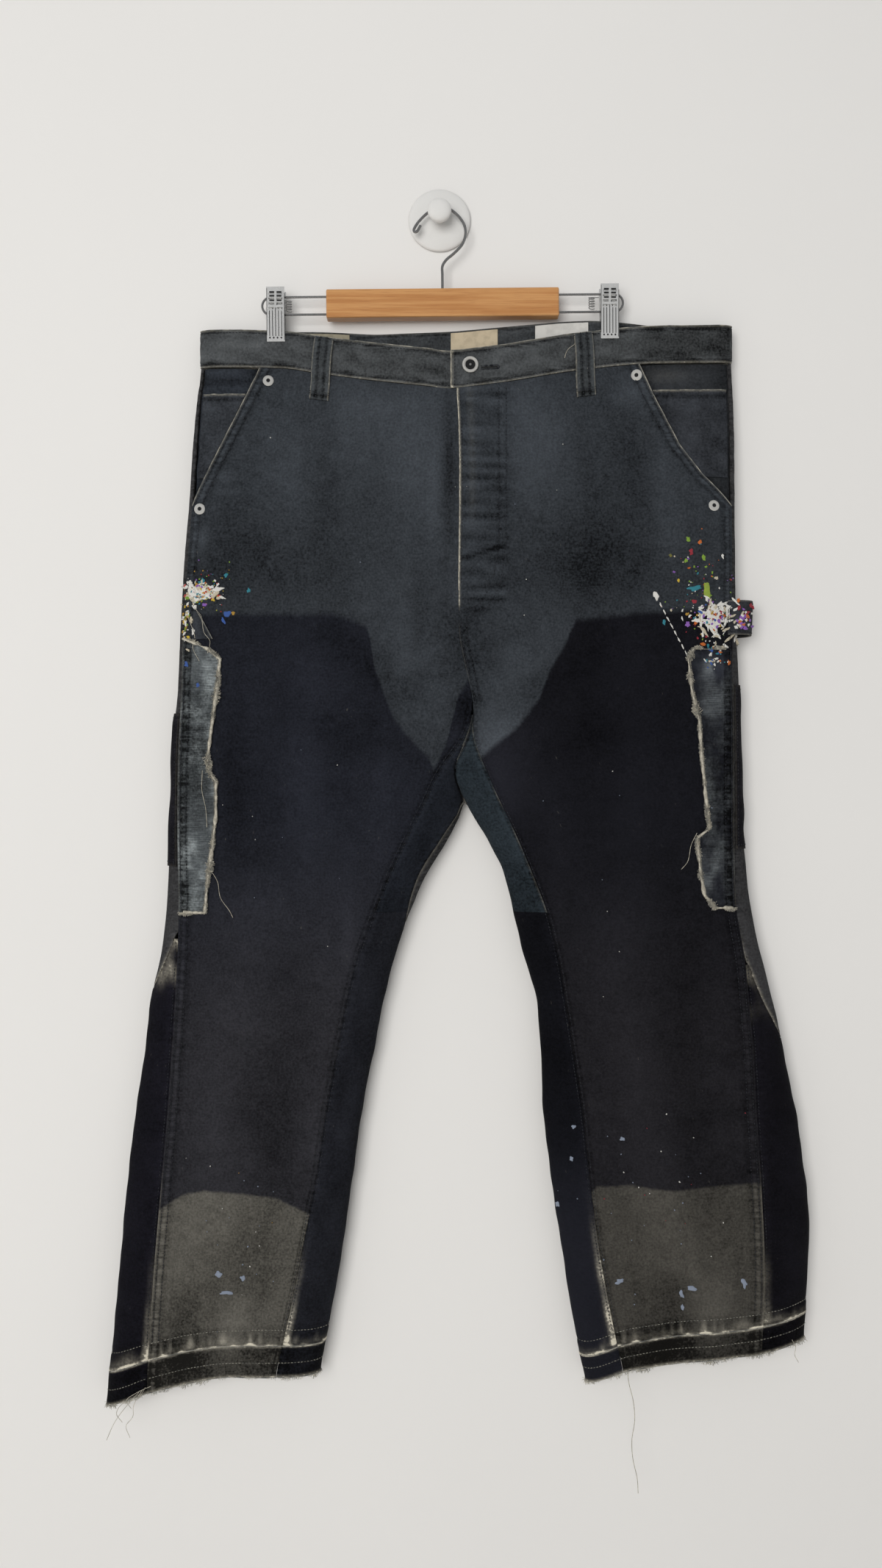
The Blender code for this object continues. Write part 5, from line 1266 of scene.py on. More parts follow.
# name, side, first and last x, height, colour, how stained
labels = [("label_left", left, -156, -96, 30, (0.32, 0.29, 0.215), 0.9),
          ("label_centre", right, 12, 62, 34, (0.58, 0.49, 0.35), 0.7),
          ("label_right", right, 102, 158, 30, (0.64, 0.63, 0.6), 0.5)]
for name, side, xFirst, xLast, tall, colour, dirt in labels:
    x, drop = spread(np.linspace(xFirst, xLast, 26)[None, :], np.linspace(-2, -2 - tall, 14)[:, None])
    seam = np.full_like(x, bandSeam)
    grid = backPoint(side, x, seam - 2)
    grid[..., 2] = backPoint(side, x, seam)[..., 2] + cut["bandHeight"] + drop
    normals = skinNormals("back", side, x, seam - 2)
    normals[..., 2] = 0
    inwards = cut["bandProud"] - cut["bandThick"] - labelSizes["gap"] - labelSizes["thick"]
    grid = grid + unit(normals) * inwards
    wall(name, grid, 1, labelMaterial("woven_" + name, colour, dirt), "label_cloth",
         0.12 * wobble(x, drop, 20, 97), thick=labelSizes["thick"], seamed=False)


def joinedSkin(meshes):
    # one surface in mm of several pieces' meshes
    points, faces = [], []
    for mesh in meshes:
        faces += [tuple(index + len(points) for index in face.vertices) for face in mesh.polygons]
        points += [vertex.co / mm for vertex in mesh.vertices]
    return BVHTree.FromPolygons(points, faces)


garment = joinedSkin([entry["thing"].data for entry in sewn if not entry["node"].startswith("label")])
front, behind = 1, -1             # the side that a line is cast from


def cast(x, z, way=front):
    found, normal = garment.ray_cast(Vector((x, -200 * way, z)), Vector((0, way, 0)))[:2]
    if found is None:
        return None, None
    return np.array(found), np.array(normal if normal.y * way < 0 else -normal)


def castTrack(track, way=front, lift=0.25, step=3):
    # a line of x and z laid on the cloth; it breaks where there is none
    track = np.asarray(track, float)
    lengths = lengthsAlong(track)
    places = np.linspace(0, lengths[-1], max(int(lengths[-1] / step), 2) + 1)
    parts, part = [], []
    for x, z in zip(np.interp(places, lengths, track[:, 0]), np.interp(places, lengths, track[:, 1])):
        point, normal = cast(x, z, way)
        if point is None or (part and abs(point[1] - part[-1][1]) > 4.5):
            parts.append(part)
            part = []
        if point is not None:
            part.append(point + normal * lift)
    parts.append(part)
    return [np.array(part) for part in parts if len(part) > 1]


def lifted(name, facing, lift=0.15):
    return edges[name] + gridNormals(edges[name], facing) * lift


def seamTrack(side, column, offset, top, low):
    h = np.arange(top, low, -4.0)
    x = seamX(side, column, h) + offset
    return np.stack([x, trueHeight(side, x, h, dip)], 1)


def slantTrack(side, offset):
    h = np.arange(bandSeam - 1, cut["slantEnd"], -4.0)
    x = read(slants[side], 1, h) + offset
    return np.stack([x, trueHeight(side, x, h, dip)], 1)


def hemTrack(side, h, way):
    ends = sorted(read(sections[side], column, h) for column in (outerEdge, innerEdge))
    x = np.linspace(ends[0] + 0.7, ends[1] - 0.7, 70)
    return np.stack([x, trueHeight(side, x, np.full_like(x, h), dip if way == front else rise)], 1)


def lineMesh(name, tracks):
    joins, start = [], 0
    for track in tracks:
        joins += [(index, index + 1) for index in range(start, start + len(track) - 1)]
        start += len(track)
    return addMesh(name, np.concatenate(tracks), joins=joins)


def newTree(name, inputs):
    inputs = [("Geometry", "Geometry", None)] + inputs
    return newGroup(name, inputs, [("Geometry", "Geometry")], "GeometryNodeTree")


def named(tree, name, kind):
    return flow(tree, "GeometryNodeInputNamedAttribute", {"Name": name}, data_type=kind)


def randomVector(tree, reach, seed):
    inputs = {0: (-reach, -reach, -reach), 1: (reach, reach, reach), "Seed": seed}
    return flow(tree, "FunctionNodeRandomValue", inputs, data_type="FLOAT_VECTOR")


def pointAlong(tree, axis, *vectors):
    # a rotation that turns an axis to the sum of two vectors
    way = flow(tree, "ShaderNodeVectorMath", vectors, operation="ADD")
    return flow(tree, "FunctionNodeAlignRotationToVector", {"Vector": way}, axis=axis)


def closeTree(tree, result, finish, points, piece, turn, scale):
    inputs = {"Points": points, "Instance": piece, "Rotation": turn, "Scale": scale}
    placed = flow(tree, "GeometryNodeInstanceOnPoints", inputs)
    solid = flow(tree, "GeometryNodeRealizeInstances", [placed])
    painted = flow(tree, "GeometryNodeSetMaterial", {"Geometry": solid, "Material": finish})
    feed(tree, result["Geometry"], painted)
    return tree


def stitchTree(name, finish):
    tree, given, result = newTree(name, [("Pitch", "Float", 0.0034), ("Length", "Float", 0.00135),
                                         ("Thickness", "Float", 0.0004), ("Seed", "Int", 1)])
    curve = flow(tree, "GeometryNodeMeshToCurve", {"Mesh": given["Geometry"]})
    inputs = {"Curve": curve, "Length": given["Pitch"]}
    even = flow(tree, "GeometryNodeResampleCurve", inputs, mode="LENGTH")
    bead = addNode(tree, "GeometryNodeMeshIcoSphere").outputs["Mesh"]
    tangent = flow(tree, "GeometryNodeInputTangent")
    turn = pointAlong(tree, "X", tangent, randomVector(tree, 0.14, given["Seed"]))
    size = flow(tree, "ShaderNodeCombineXYZ", (given["Length"], given["Thickness"], given["Thickness"]))
    return closeTree(tree, result, finish, even, bead, turn, size)


def frayTree(name, finish):
    tree, given, result = newTree(name, [("Spread", "Float", 0.5), ("Thickness", "Float", 0.035),
                                         ("Seed", "Int", 1)])
    bow = {"Resolution": 4, "Start": (0, 0, 0), "Middle": (0.22, 0, 0.5), "End": (-0.12, 0.1, 1)}
    hair = flow(tree, "GeometryNodeCurveQuadraticBezier", bow)
    # two short runs are enough for so thin a fibre
    bent = flow(tree, "GeometryNodeResampleCurve", {"Count": 3, "Curve": hair})
    ring = flow(tree, "GeometryNodeCurvePrimitiveCircle", {"Resolution": 3, "Radius": given["Thickness"]})
    inputs = {"Curve": bent, "Profile Curve": ring, "Fill Caps": True}
    thread = flow(tree, "GeometryNodeCurveToMesh", inputs)
    inputs = {0: randomVector(tree, 1, given["Seed"]), "Scale": given["Spread"]}
    jitter = flow(tree, "ShaderNodeVectorMath", inputs, operation="SCALE")
    turn = pointAlong(tree, "Z", named(tree, "out", "FLOAT_VECTOR"), jitter)
    inputs = {3: 6.28, "Seed": given["Seed"]}
    angle = addNode(tree, "FunctionNodeRandomValue", inputs, data_type="FLOAT").outputs[1]
    twist = flow(tree, "FunctionNodeAxisAngleToRotation", {"Angle": angle})
    both = flow(tree, "FunctionNodeRotateRotation", (turn, twist), rotation_space="LOCAL")
    return closeTree(tree, result, finish, given["Geometry"], thread, both, named(tree, "size", "FLOAT"))


def grow(seedThing, tree, name, **settings):
    # the modifier's inputs are set before it first runs, and its result becomes a plain mesh
    modifier = seedThing.modifiers.new("grow", "NODES")
    modifier.node_group = tree
    for label, value in settings.items():
        modifier[tree.interface.items_tree[label].identifier] = value
    mesh = bpy.data.meshes.new_from_object(seedThing.evaluated_get(bpy.context.evaluated_depsgraph_get()))
    mesh.name = name
    bpy.data.objects.remove(seedThing, do_unlink=True)
    print(name, len(mesh.polygons))
    return addObject(name, mesh)


riding = []               # piece, slot, and the node that a hard piece stands for


def rides(thing, slotName="canvas_slate", node=None):
    riding.append((thing, slotName, node))
    return thing


print("stitches")
stitchSizes = {"pitch": 3.4, "length": 1.35, "thickness": 0.42, "flyRow": 7.6}
darkTracks, paleTracks = [], []


def sew(track, way=front):
    darkTracks.extend(castTrack(track, way))


for side in legs:
    for offset in (3.3, 9.7):
        sew(seamTrack(side, sideSeamX, -side * offset, cut["slantEnd"] - 4, lowest[side] + 46))
    for offset in (3, 11):
        sew(slantTrack(side, -side * offset))
    for offset in (side * 2.2, -side * 2.2):
        sew(seamTrack(side, frontSeam, offset, -545, lowest[side] + 46))
    sew(seamTrack(side, sideSeamX, side * 2.4, flares[side][-1, 0], lowest[side] + 46))
    sew([(sideSeam(side, -196) - side * 2, -196), (read(slants[side], 1, -196), -196)])
    sew([(sideSeam(side, h) - side * 3, h) for h, _ in remnants[side][::-1]])
    for offset in (3.3, 9.7):
        h = np.arange(bandSeam - 2, -610.0, -5.0)
        sew(np.stack([np.full_like(h, cut["centreBack"] + side * offset), h], 1), behind)
    for way in (front, behind):
        for line in hemLines[side][::2]:
            paleTracks += castTrack(hemTrack(side, line, way), way)
    pocket = lifted("tool_pocket_" + word[side], side, 0.2)
    darkTracks += [pocket[:, 1], pocket[:, -2], pocket[1], pocket[-2]]
flyCurve = [(69.7, -191), (69.7, -350), (66, -378), (62, -400), (50, -420), (28, -430)]
sew(flyCurve)
sew([(x - stitchSizes["flyRow"], z + (4 if z < -395 else 0)) for x, z in flyCurve])
for offset, top, low in ((2.6, -166, -396), (2.8, -436, -518), (8.2, -436, -518)):
    sew(seamTrack(right, frontSeam, offset, top, low))
bandSkin = lifted("waistband", 1)
darkTracks += [bandSkin[1], bandSkin[-2], bandSkin[1:-1, 1]]
for name, face, *_ in beltLoops:
    loop = lifted(name, 1 if face == "front" else -1)
    darkTracks += [loop[:, 4], loop[:, 8], loop[-5], loop[-4], loop[1]]
hammer = lifted("hammer_loop", 1)
darkTracks += [hammer[1], hammer[-2]]
for kind, finish, tracks, seed in (("dark", darkStitch, darkTracks, 3), ("pale", paleStitch, paleTracks, 4)):
    lines, name = lineMesh("stitch_lines_" + kind, tracks), "stitches_" + kind
    made = grow(lines, stitchTree(name, finish), name, Pitch=stitchSizes["pitch"] * mm,
                Length=stitchSizes["length"] * mm, Thickness=stitchSizes["thickness"] * mm, Seed=seed)
    rides(made, "thread")


def ringFaces(start, rings, count):
    # the quads between rings of count points, the first of them at start
    corners = [(start + ring * count, step, (step + 1) % count)
               for ring in range(rings - 1) for step in range(count)]
    return [(low + a, low + b, low + count + b, low + count + a) for low, a, b in corners]


def tubes(name, tracks, radius, finish, sides=6, uneven=0.25, seed=5):
    # round threads along lines in mm, with closed ends
    dice = np.random.default_rng(seed)
    angles = np.linspace(0, 2 * pi, sides, endpoint=False)[:, None]
    points, faces = [], []
    for track in tracks:
        along = unit(np.gradient(track, axis=0))
        across = unit(np.cross(along, np.array([0.05, -1, 0.08])))[:, None]
        out = np.cross(across, along[:, None])
        thick = radius * (1 + uneven * wobble(np.arange(len(track)) * 3.0, dice.uniform(0, 99), 14, seed))
        ring = thick[:, None, None] * (across * np.cos(angles) + out * np.sin(angles))
        start = len(points)
        points += (track[:, None] + ring).reshape(-1, 3).tolist()
        faces += ringFaces(start, len(track), sides)
        faces.append(tuple(range(start, start + sides))[::-1])
        faces.append(tuple(range(len(points) - sides, len(points))))
    return addMesh(name, points, faces, finish)


print("worn edges")
wornSizes = {"edge": 0.5, "flyEdge": 0.48, "hemEdge": 0.55, "step": 2.5, "torn": 1.35}
wornTracks, hemTracks = [], []
for side in legs:
    panel = edges["front_panel_" + word[side]]
    slantRows = panel[..., 2][:, 0] > cut["slantEnd"] - 2
    wornTracks += [panel[slantRows][:, 0], edges["patch_pocket_" + word[side]][0]]
    for way in (front, behind):
        hemTracks += castTrack(hemTrack(side, hemLines[side][1], way), way, -0.1, wornSizes["step"])
    for kind in ("front_panel_", "back_panel_", "inner_insert_", "flare_insert_"):
        hemTracks.append(edges[kind + word[side]][-1])
flyEdge = edges["front_panel_right"][:, -1]
creamTracks = [flyEdge[(flyEdge[:, 2] < -168) & (flyEdge[:, 2] > -404)]]
bandEdge = lifted("waistband", 1, 0.1)
creamTracks.append(bandEdge[:, 0])
wornTracks += [bandEdge[0], edges["knee_flap"][:, -1]]
rides(tubes("worn_edges", wornTracks, wornSizes["edge"], wornThread))
rides(tubes("fly_edges", creamTracks, wornSizes["flyEdge"], creamThread, seed=4))
rides(tubes("worn_hem_edges", hemTracks, wornSizes["hemEdge"], wornThread, seed=6))
tornTracks = []
for side in legs:
    torn = edges["knee_remnant_" + word[side]]
    tornTracks += [torn[:, -1], torn[-1, 4:]] + ([torn[0]] if side == left else [])
rides(tubes("torn_edges", tornTracks, wornSizes["torn"], creamThread, 7, 0.5, 8), "canvas_remnant")

print("frayed edges")
fraySizes = {"hemPerMm": 4.2, "hemLength": (1.4, 4.4), "remnantPerMm": 11, "remnantLength": (1.6, 4.2)}
frayDice = np.random.default_rng(12)
creamFray = threadMaterial("cream_fray", (0.66, 0.62, 0.52), (0.36, 0.35, 0.31), 240)
frayHair = frayTree("frayed_hair", creamFray)


def frayAlong(name, tracks, perMm, lengths, out, thickness=0.035, loose=0.5, seed=7):
    points, ways, sizes = [], [], []
    for track, way in zip(tracks, out):
        spans = lengthsAlong(track)
        count = int(spans[-1] * perMm)
        places = np.sort(frayDice.uniform(0, spans[-1], count))
        clump = 0.65 + 0.45 * wobble(places, 0, 22, seed)
        points.append(np.stack([np.interp(places, spans, track[:, axis]) for axis in range(3)], 1))
        ways.append(np.repeat(np.array([way], float), count, 0) + frayDice.normal(0, 0.2, (count, 3)))
        sizes.append(np.maximum(frayDice.uniform(*lengths, count) * np.clip(clump, 0.25, 1.4), 0.8))
    seeds = addMesh(name + "_seeds", np.concatenate(points))
    setField(seeds, "out", np.concatenate(ways), "FLOAT_VECTOR", "vector")
    setField(seeds, "size", np.concatenate(sizes) * mm)
    return grow(seeds, frayHair, name, Spread=loose, Thickness=thickness, Seed=seed)


fraying = []              # the node that each frayed rim belongs to, and the rim
for side in legs:
    rims = [(edges[kind + word[side]][-1], (0, push, -1)) for kind, push in
            (("front_panel_", -0.15), ("back_panel_", 0.15), ("inner_insert_", 0), ("flare_insert_", 0))]
    hemFray = frayAlong("hem_fray_" + word[side], [rim[0] for rim in rims], fraySizes["hemPerMm"],
                        fraySizes["hemLength"], [rim[1] for rim in rims], 0.045, 0.7, 7 + side)
    torn = edges["knee_remnant_" + word[side]]
    remnantFray = frayAlong(
        "remnant_fray_" + word[side], [torn[:, -1], torn[:, -2], torn[-1], torn[0, 4:]],
        fraySizes["remnantPerMm"], fraySizes["remnantLength"],
        [(-side, -0.2, 0), (-side * 0.6, -0.5, 0), (0, -0.2, -1), (0, -0.2, 1)], 0.075, 0.9, 9 + side)
    fraying += [("front_panel_" + word[side], rides(hemFray, "thread")),
                ("knee_remnant_" + word[side], rides(remnantFray, "canvas_remnant"))]
for entry in sewn:
    entry["with"] = [piece for node, piece in fraying if node == entry["node"]]

print("loose threads")
threadSizes = {"radius": 0.27, "points": 26}
# x and z of a few points of each thread, and how far it stands off
looseThreads = [
    ([(-312.8, -1237), (-322, -1247), (-334, -1262), (-341, -1274), (-346.5, -1287)], 0.6),
    ([(-306, -1232), (-314, -1243), (-330, -1249), (-336, -1259), (-330, -1268)], 0.7),
    ([(-309, -1234), (-318, -1250), (-319, -1262), (-326, -1272), (-322, -1284)], 0.8),
    ([(-300, -1230), (-316, -1238), (-326, -1246), (-321, -1255)], 0.6),
    ([(368, -1184), (372, -1192), (371, -1200), (375, -1208)], 0.6),
    ([(142.4, -141), (136, -146), (133, -151), (131.7, -156)], 0.8),
    ([(-237.8, -694), (-231, -706), (-228, -722), (-219, -735), (-214.9, -743)], 0.8),
    ([(-246.3, -590), (-247, -610), (-243, -630), (-241.7, -649)], 1.2),
    ([(-266, -423), (-260, -436), (-255, -450), (-257, -462), (-250, -476)], 1),
    ([(-256, -420), (-248, -430), (-245, -446), (-239, -455), (-241, -468)], 1),
    ([(268, -655), (262, -668), (259, -684), (252, -693)], 0.9),
]
looseTracks = []
for knots, stand in looseThreads:
    route = smoothCurve([Vector((x, z)) for x, z in knots], threadSizes["points"])
    depth = -37
    track = []
    for x, z in route:
        point, normal = cast(x, z)
        if point is not None:
            depth = point[1] - stand
        track.append((x, depth, z))
    looseTracks.append(np.array(track))
rides(tubes("loose_threads", looseTracks, threadSizes["radius"], creamThread, uneven=0.1), "thread")

print("paint")
paintColours = {
    "white": (0.74, 0.73, 0.69), "cream": (0.56, 0.5, 0.38), "teal": (0.02, 0.2, 0.26),
    "green": (0.2, 0.34, 0.03), "orange": (0.55, 0.13, 0.015), "crimson": (0.3, 0.015, 0.03),
    "olive": (0.16, 0.15, 0.03), "purple": (0.24, 0.1, 0.42), "ochre": (0.42, 0.24, 0.03),
    "blue": (0.03, 0.09, 0.33), "yellow": (0.6, 0.42, 0.03), "red": (0.42, 0.03, 0.02),
    "paleBlue": (0.23, 0.27, 0.35), "leaf": (0.27, 0.36, 0.04),
}
# x and z, half width and half height, turn in degrees, colour
splashes = [
    (259.4, -348.9, 2.2, 2.8, 10, "green"), (271.6, -351.9, 2.6, 2, 30, "orange"),
    (262.5, -361.9, 2.4, 3.2, 0, "crimson"), (241, -365.7, 2, 1.6, 0, "olive"),
    (275.5, -368, 2, 3.4, 15, "green"), (257.1, -371.1, 2.6, 1.8, 40, "green"),
    (266, -400, 8, 2.6, 8, "teal"), (279, -402, 3.8, 8.6, 10, "leaf"),
    (265.5, -413.9, 2.8, 2.2, 0, "crimson"), (225.7, -407.8, 3.2, 4.2, 20, "white"),
    (234.2, -435.3, 2, 2.6, 0, "teal"), (258.6, -437.6, 2.6, 3, 0, "purple"),
    (274.7, -458.3, 2.6, 2.2, 0, "orange"), (302.2, -477.4, 2, 2.6, 0, "orange"),
    (289, -389, 2, 2, 0, "cream"), (296, -366, 1.6, 2.4, 0, "white"), (249, -392, 1.4, 2, 0, "yellow"),
    (284, -426, 2.2, 3.6, -20, "ochre"), (-262, -393, 3.2, 2.4, 0, "white"),
    (-254, -398, 2.6, 2, 15, "ochre"), (-247, -392, 2, 3, 0, "teal"), (-240, -401, 2.6, 2, 0, "red"),
    (-252, -407, 3, 2.4, 30, "orange"), (-262, -408, 2.4, 3.4, 0, "green"),
    (-236, -412, 2, 1.8, 0, "yellow"), (-245, -417, 2.6, 2, 0, "purple"), (-231, -396, 1.6, 1.6, 0, "white"),
    (-256, -419, 3.2, 2, -20, "white"), (-222.5, -386.4, 2.4, 2, 0, "teal"),
    (-198.8, -402.4, 2, 2.4, 0, "teal"), (-221, -426.9, 3.8, 3.6, 0, "blue"),
    (-225, -434, 1.4, 4.6, 28, "blue"), (-214.9, -426.1, 2.2, 1.8, 0, "ochre"),
    (-264, -426, 2.6, 4, 0, "white"), (-259, -433, 2, 3.6, 10, "cream"), (-265, -440, 2.4, 3, 0, "ochre"),
    (-257, -445, 1.8, 3.6, 0, "white"), (-264.6, -478.9, 2.4, 3, 0, "blue"),
    (-251.6, -501.1, 1.8, 2.4, 0, "blue"),
]
paleSplashes = [
    (-230.2, -1115, 4, 3.2, 0), (-205, -1119.2, 2.6, 3, 30), (-221.7, -1133.8, 7.2, 1.9, 0),
    (140, -961.6, 2.4, 2, 0), (190.6, -973.9, 2.8, 2, 0), (137.8, -995.3, 2, 2.6, 0),
    (124, -1045.8, 2, 3, 0), (187.5, -1122.3, 4.6, 2.6, 15), (263, -1129.2, 5.2, 2.6, -8),
    (317.5, -1124, 3, 4.6, 24), (252.5, -1136, 2, 4.4, 8), (253.5, -1150, 1.6, 3.4, 0),
]
splashes += [(*spot, "paleBlue") for spot in paleSplashes]
trail = [(225.7 + 31.4 * share, -407.8 - 60.4 * share, 0.8, 3, 27, "white")
         for share in np.linspace(0.16, 1, 8)]
paintDice = np.random.default_rng(31)
specks = []
# centre, reach, how many, half size from and to, how long for its width, colours; later drops lie on top
showers = [
    (287, -431, 19, 22, 110, (0.7, 1.8), (1.5, 4.4), "white white white cream"),
    (283, -430, 17, 18, 34, (0.8, 2.2), (0.8, 1.7), "teal orange purple crimson blue olive ochre"),
    (284, -430, 9, 10, 16, (0.7, 1.5), (1.2, 3.4), "white"),
    (318, -430, 9, 13, 36, (1, 2.6), (0.8, 1.8), "purple white purple orange crimson cream"),
    (270, -405, 30, 48, 90, (0.35, 1.1), (0.8, 1.6), "white teal orange crimson green purple cream"),
    (286, -470, 13, 16, 40, (0.4, 1.3), (0.8, 2.6), "white teal white blue orange cream"),
    (-250, -404, 19, 10, 80, (1, 2.2), (1.2, 3.4), "white white cream"),
    (-249, -405, 20, 10, 50, (0.7, 1.8), (0.8, 1.7), "red ochre teal green yellow purple orange"),
    (-250, -405, 16, 7, 20, (0.6, 1.2), (1.2, 3), "white"),
    (-244, -402, 26, 26, 70, (0.35, 1), (0.8, 1.5), "white ochre teal red green yellow purple"),
    (-266, -436, 4, 26, 44, (0.5, 1.5), (0.9, 2.6), "white cream ochre green yellow white"),
    (-150, -620, 90, 150, 9, (0.35, 0.7), (0.8, 1.4), "white paleBlue"),
    (180, -640, 90, 150, 8, (0.35, 0.7), (0.8, 1.4), "white paleBlue"),
    (-215, -1080, 60, 90, 22, (0.35, 0.9), (0.8, 1.4), "white paleBlue paleBlue ochre"),
    (240, -1040, 80, 100, 34, (0.35, 0.9), (0.8, 1.4), "white paleBlue paleBlue crimson"),
    (10, -340, 200, 90, 10, (0.3, 0.7), (0.8, 1.3), "white paleBlue"),
]
for cx, cz, wide, tall, count, sizes, shapes, kinds in showers:
    kinds = kinds.split()
    for _ in range(count):
        size = paintDice.uniform(*sizes)
        x, z = cx + paintDice.normal(0, 0.5) * wide, cz + paintDice.normal(0, 0.5) * tall
        length, turn = size * paintDice.uniform(*shapes), paintDice.uniform(0, 180)
        specks.append((x, z, size, length, turn, kinds[paintDice.integers(len(kinds))]))


def paintMesh(name, listed):
    # flat drops with an uneven rim, each one closed and pressed a little into the cloth
    points, faces, tints = [], [], []
    for order, (x, z, wide, tall, turn, colour) in enumerate(listed):
        middle, normal = cast(x, z)
        if middle is None:
            continue
        big = max(wide, tall) > 1.4
        count = 16 if big else 8
        waves = paintDice.uniform(-1, 1, (4, 2))
        thick = 0.22 + 0.09 * min(wide, 4) + 0.0012 * order
        angles = np.linspace(0, 2 * pi, count, endpoint=False)
        uneven = 0.2 if big else 0.1
        rough = 1 + sum(deep * uneven * np.cos(rounds * angles + 3 * phase)
                        for rounds, (deep, phase) in enumerate(waves, 2))
        lean = radians(turn)
        start = len(points)
        points.append(middle + normal * thick)
        rings = [(0.62, thick * 0.85), (0.94, thick * 0.35)] if big else [(0.8, thick * 0.6)]
        rings.append((1, -0.3))
        for share, lift in rings:
            for angle, far in zip(angles, rough):
                u, v = wide * share * far * cos(angle), tall * share * far * sin(angle)
                px = x + u * cos(lean) - v * sin(lean)
                pz = z + u * sin(lean) + v * cos(lean)
                spot, aside = cast(px, pz)
                if spot is None or abs(spot[1] - middle[1]) > 3.5:
                    spot, aside = np.array([px, middle[1], pz]), normal
                points.append(spot + aside * lift)
        points.append(middle - normal * 0.4)
        last = len(points) - 1
        for low, tip in ((start + 1, start), (last - count, last)):
            fan = [(tip, low + corner, low + (corner + 1) % count) for corner in range(count)]
            faces += fan if tip == start else [face[::-1] for face in fan]
        faces += [face[::-1] for face in ringFaces(start + 1, len(rings), count)]
        tints += [(*paintColours[colour], 1)] * (len(points) - start)
    drops = rides(addMesh(name, points, faces, paint))
    setField(drops, "paint", tints, "FLOAT_COLOR", "color")


paintMesh("paint_splashes", splashes + trail)
paintMesh("paint_specks", specks)


def lathe(name, profile, finish, steps=48, at=(0, 0, 0), axis=(0, -1, 0)):
    # turned from radius and height pairs in mm, from the axis to the axis
    profile = np.array(profile, float)
    angles = np.linspace(0, 2 * pi, steps, endpoint=False)
    rings = profile[1:-1]
    points = [(0, 0, profile[0, 1])]
    for radius, height in rings:
        points += [(radius * cos(angle), radius * sin(angle), height) for angle in angles]
    points.append((0, 0, profile[-1, 1]))
    faces = [(0, 1 + (step + 1) % steps, 1 + step) for step in range(steps)]
    faces += ringFaces(1, len(rings), steps)
    start = 1 + (len(rings) - 1) * steps
    faces += [(start + step, start + (step + 1) % steps, len(points) - 1) for step in range(steps)]
    turn = Vector(axis).to_track_quat("Z", "Y").to_matrix()
    return addMesh(name, [turn @ Vector(point) + Vector(at) for point in points], faces, finish, 40)


def boxMm(node):
    low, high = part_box(node)
    return np.array(low) / mm, np.array(high) / mm


print("button and rivets")
buttonSizes = {
    "ring": [(0, 0), (7, 0), (8.2, 0.7), (8.55, 1.5), (8.3, 2.4), (7.6, 2.95), (6.7, 2.95), (6, 2.5),
             (5.4, 1.7), (0, 1.6)],
    "core": [(0, 1.4), (5.3, 1.5), (5.2, 1.95), (4.2, 1.9), (2.6, 1.85), (0, 1.85)],
    "pin": [(0, 1.6), (1.3, 1.7), (1.2, 2.2), (0.8, 2.55), (0, 2.6)], "sunk": 1.45,
    "slit": [(43.5, -169.4), (50, -169), (60.5, -168.2)], "slitRadius": 0.95, "rimRadius": 0.6,
    "rim": [(43, -167.6), (52, -167.1), (61, -166.4), (62.6, -168.2), (61, -170), (52, -170.7), (43, -171.2)],
}
low, high = boxMm("waist_button")
middle = (low + high) / 2
nearest = int(np.argmin(norm(bandLine[:, :2] - middle[:2], axis=1)))
faceOut = bandOut[nearest]
seat = middle - faceOut * buttonSizes["sunk"]
for part, finish in (("ring", brightSteel), ("core", darkMetalAndShade), ("pin", steel)):
    steps = 48 if part == "ring" else 28
    made = lathe("waist_button_" + part, buttonSizes[part], finish, steps, seat, faceOut)
    rides(made, "fastener_steel", "waist_button" if part == "ring" else None)
# the buttonhole's slit is a dark metal tube sunk into the cloth: painted shade in the opening
slit = castTrack(buttonSizes["slit"], front, -0.25, 1)
rides(tubes("buttonhole_slit", slit, buttonSizes["slitRadius"], darkMetalAndShade, 8, 0.1))
rim = castTrack(buttonSizes["rim"], front, 0.05, 1)
rides(tubes("buttonhole_rim", rim, buttonSizes["rimRadius"], darkStitch, 7, 0.5), "thread")
rivetSizes = {
    "disc": [(0, 0), (5.6, 0), (5.8, 0.4), (5.4, 0.9), (4.4, 1.25), (3.2, 1.3), (2.3, 1.1), (0, 1)],
    "core": [(0, 0.8), (2.2, 0.9), (2, 1.25), (1.3, 1.4), (0, 1.45)], "sunk": 0.75,
}
for node in ("rivet_left_upper", "rivet_left_lower", "rivet_right_upper", "rivet_right_lower"):
    low, high = boxMm(node)
    middle = (low + high) / 2
    spot, out = cast(middle[0], middle[2])
    seat = middle - out * rivetSizes["sunk"]
    rides(lathe(node + "_disc", rivetSizes["disc"], brightSteel, 32, seat, out), "fastener_steel", node)
    rides(lathe(node + "_core", rivetSizes["core"], darkMetalAndShade, 20, seat, out), "fastener_steel")

print("hanger")
hangerSizes = {
    "tilt": 0.55, "x": 2.4, "wireY": -15, "barDiameter": 2.4, "barSpacing": 18.6, "barReach": 192.5,
    "hookDiameter": 3, "blockZ": -95.6, "barStart": 123, "springX": 160.5, "springEnd": 168,
    "springRadius": 2.9, "springWire": 0.9, "springTurns": 4.5, "springRise": 0.42, "fluteReach": 6.4,
    "flutes": 5, "slotX": (-3.9, 3.7), "slotShares": (0.68, 0.75, 0.83, 0.9), "dimpleX": (-6, -2, 2, 6),
    "dimple": [(0, 0), (1, 0), (0.9, 0.25), (0.5, 0.3), (0, 0.32)],
}
lean, hangerX, wireY = radians(hangerSizes["tilt"]), hangerSizes["x"], hangerSizes["wireY"]
blockZ, springX, springRadius = hangerSizes["blockZ"], hangerSizes["springX"], hangerSizes["springRadius"]


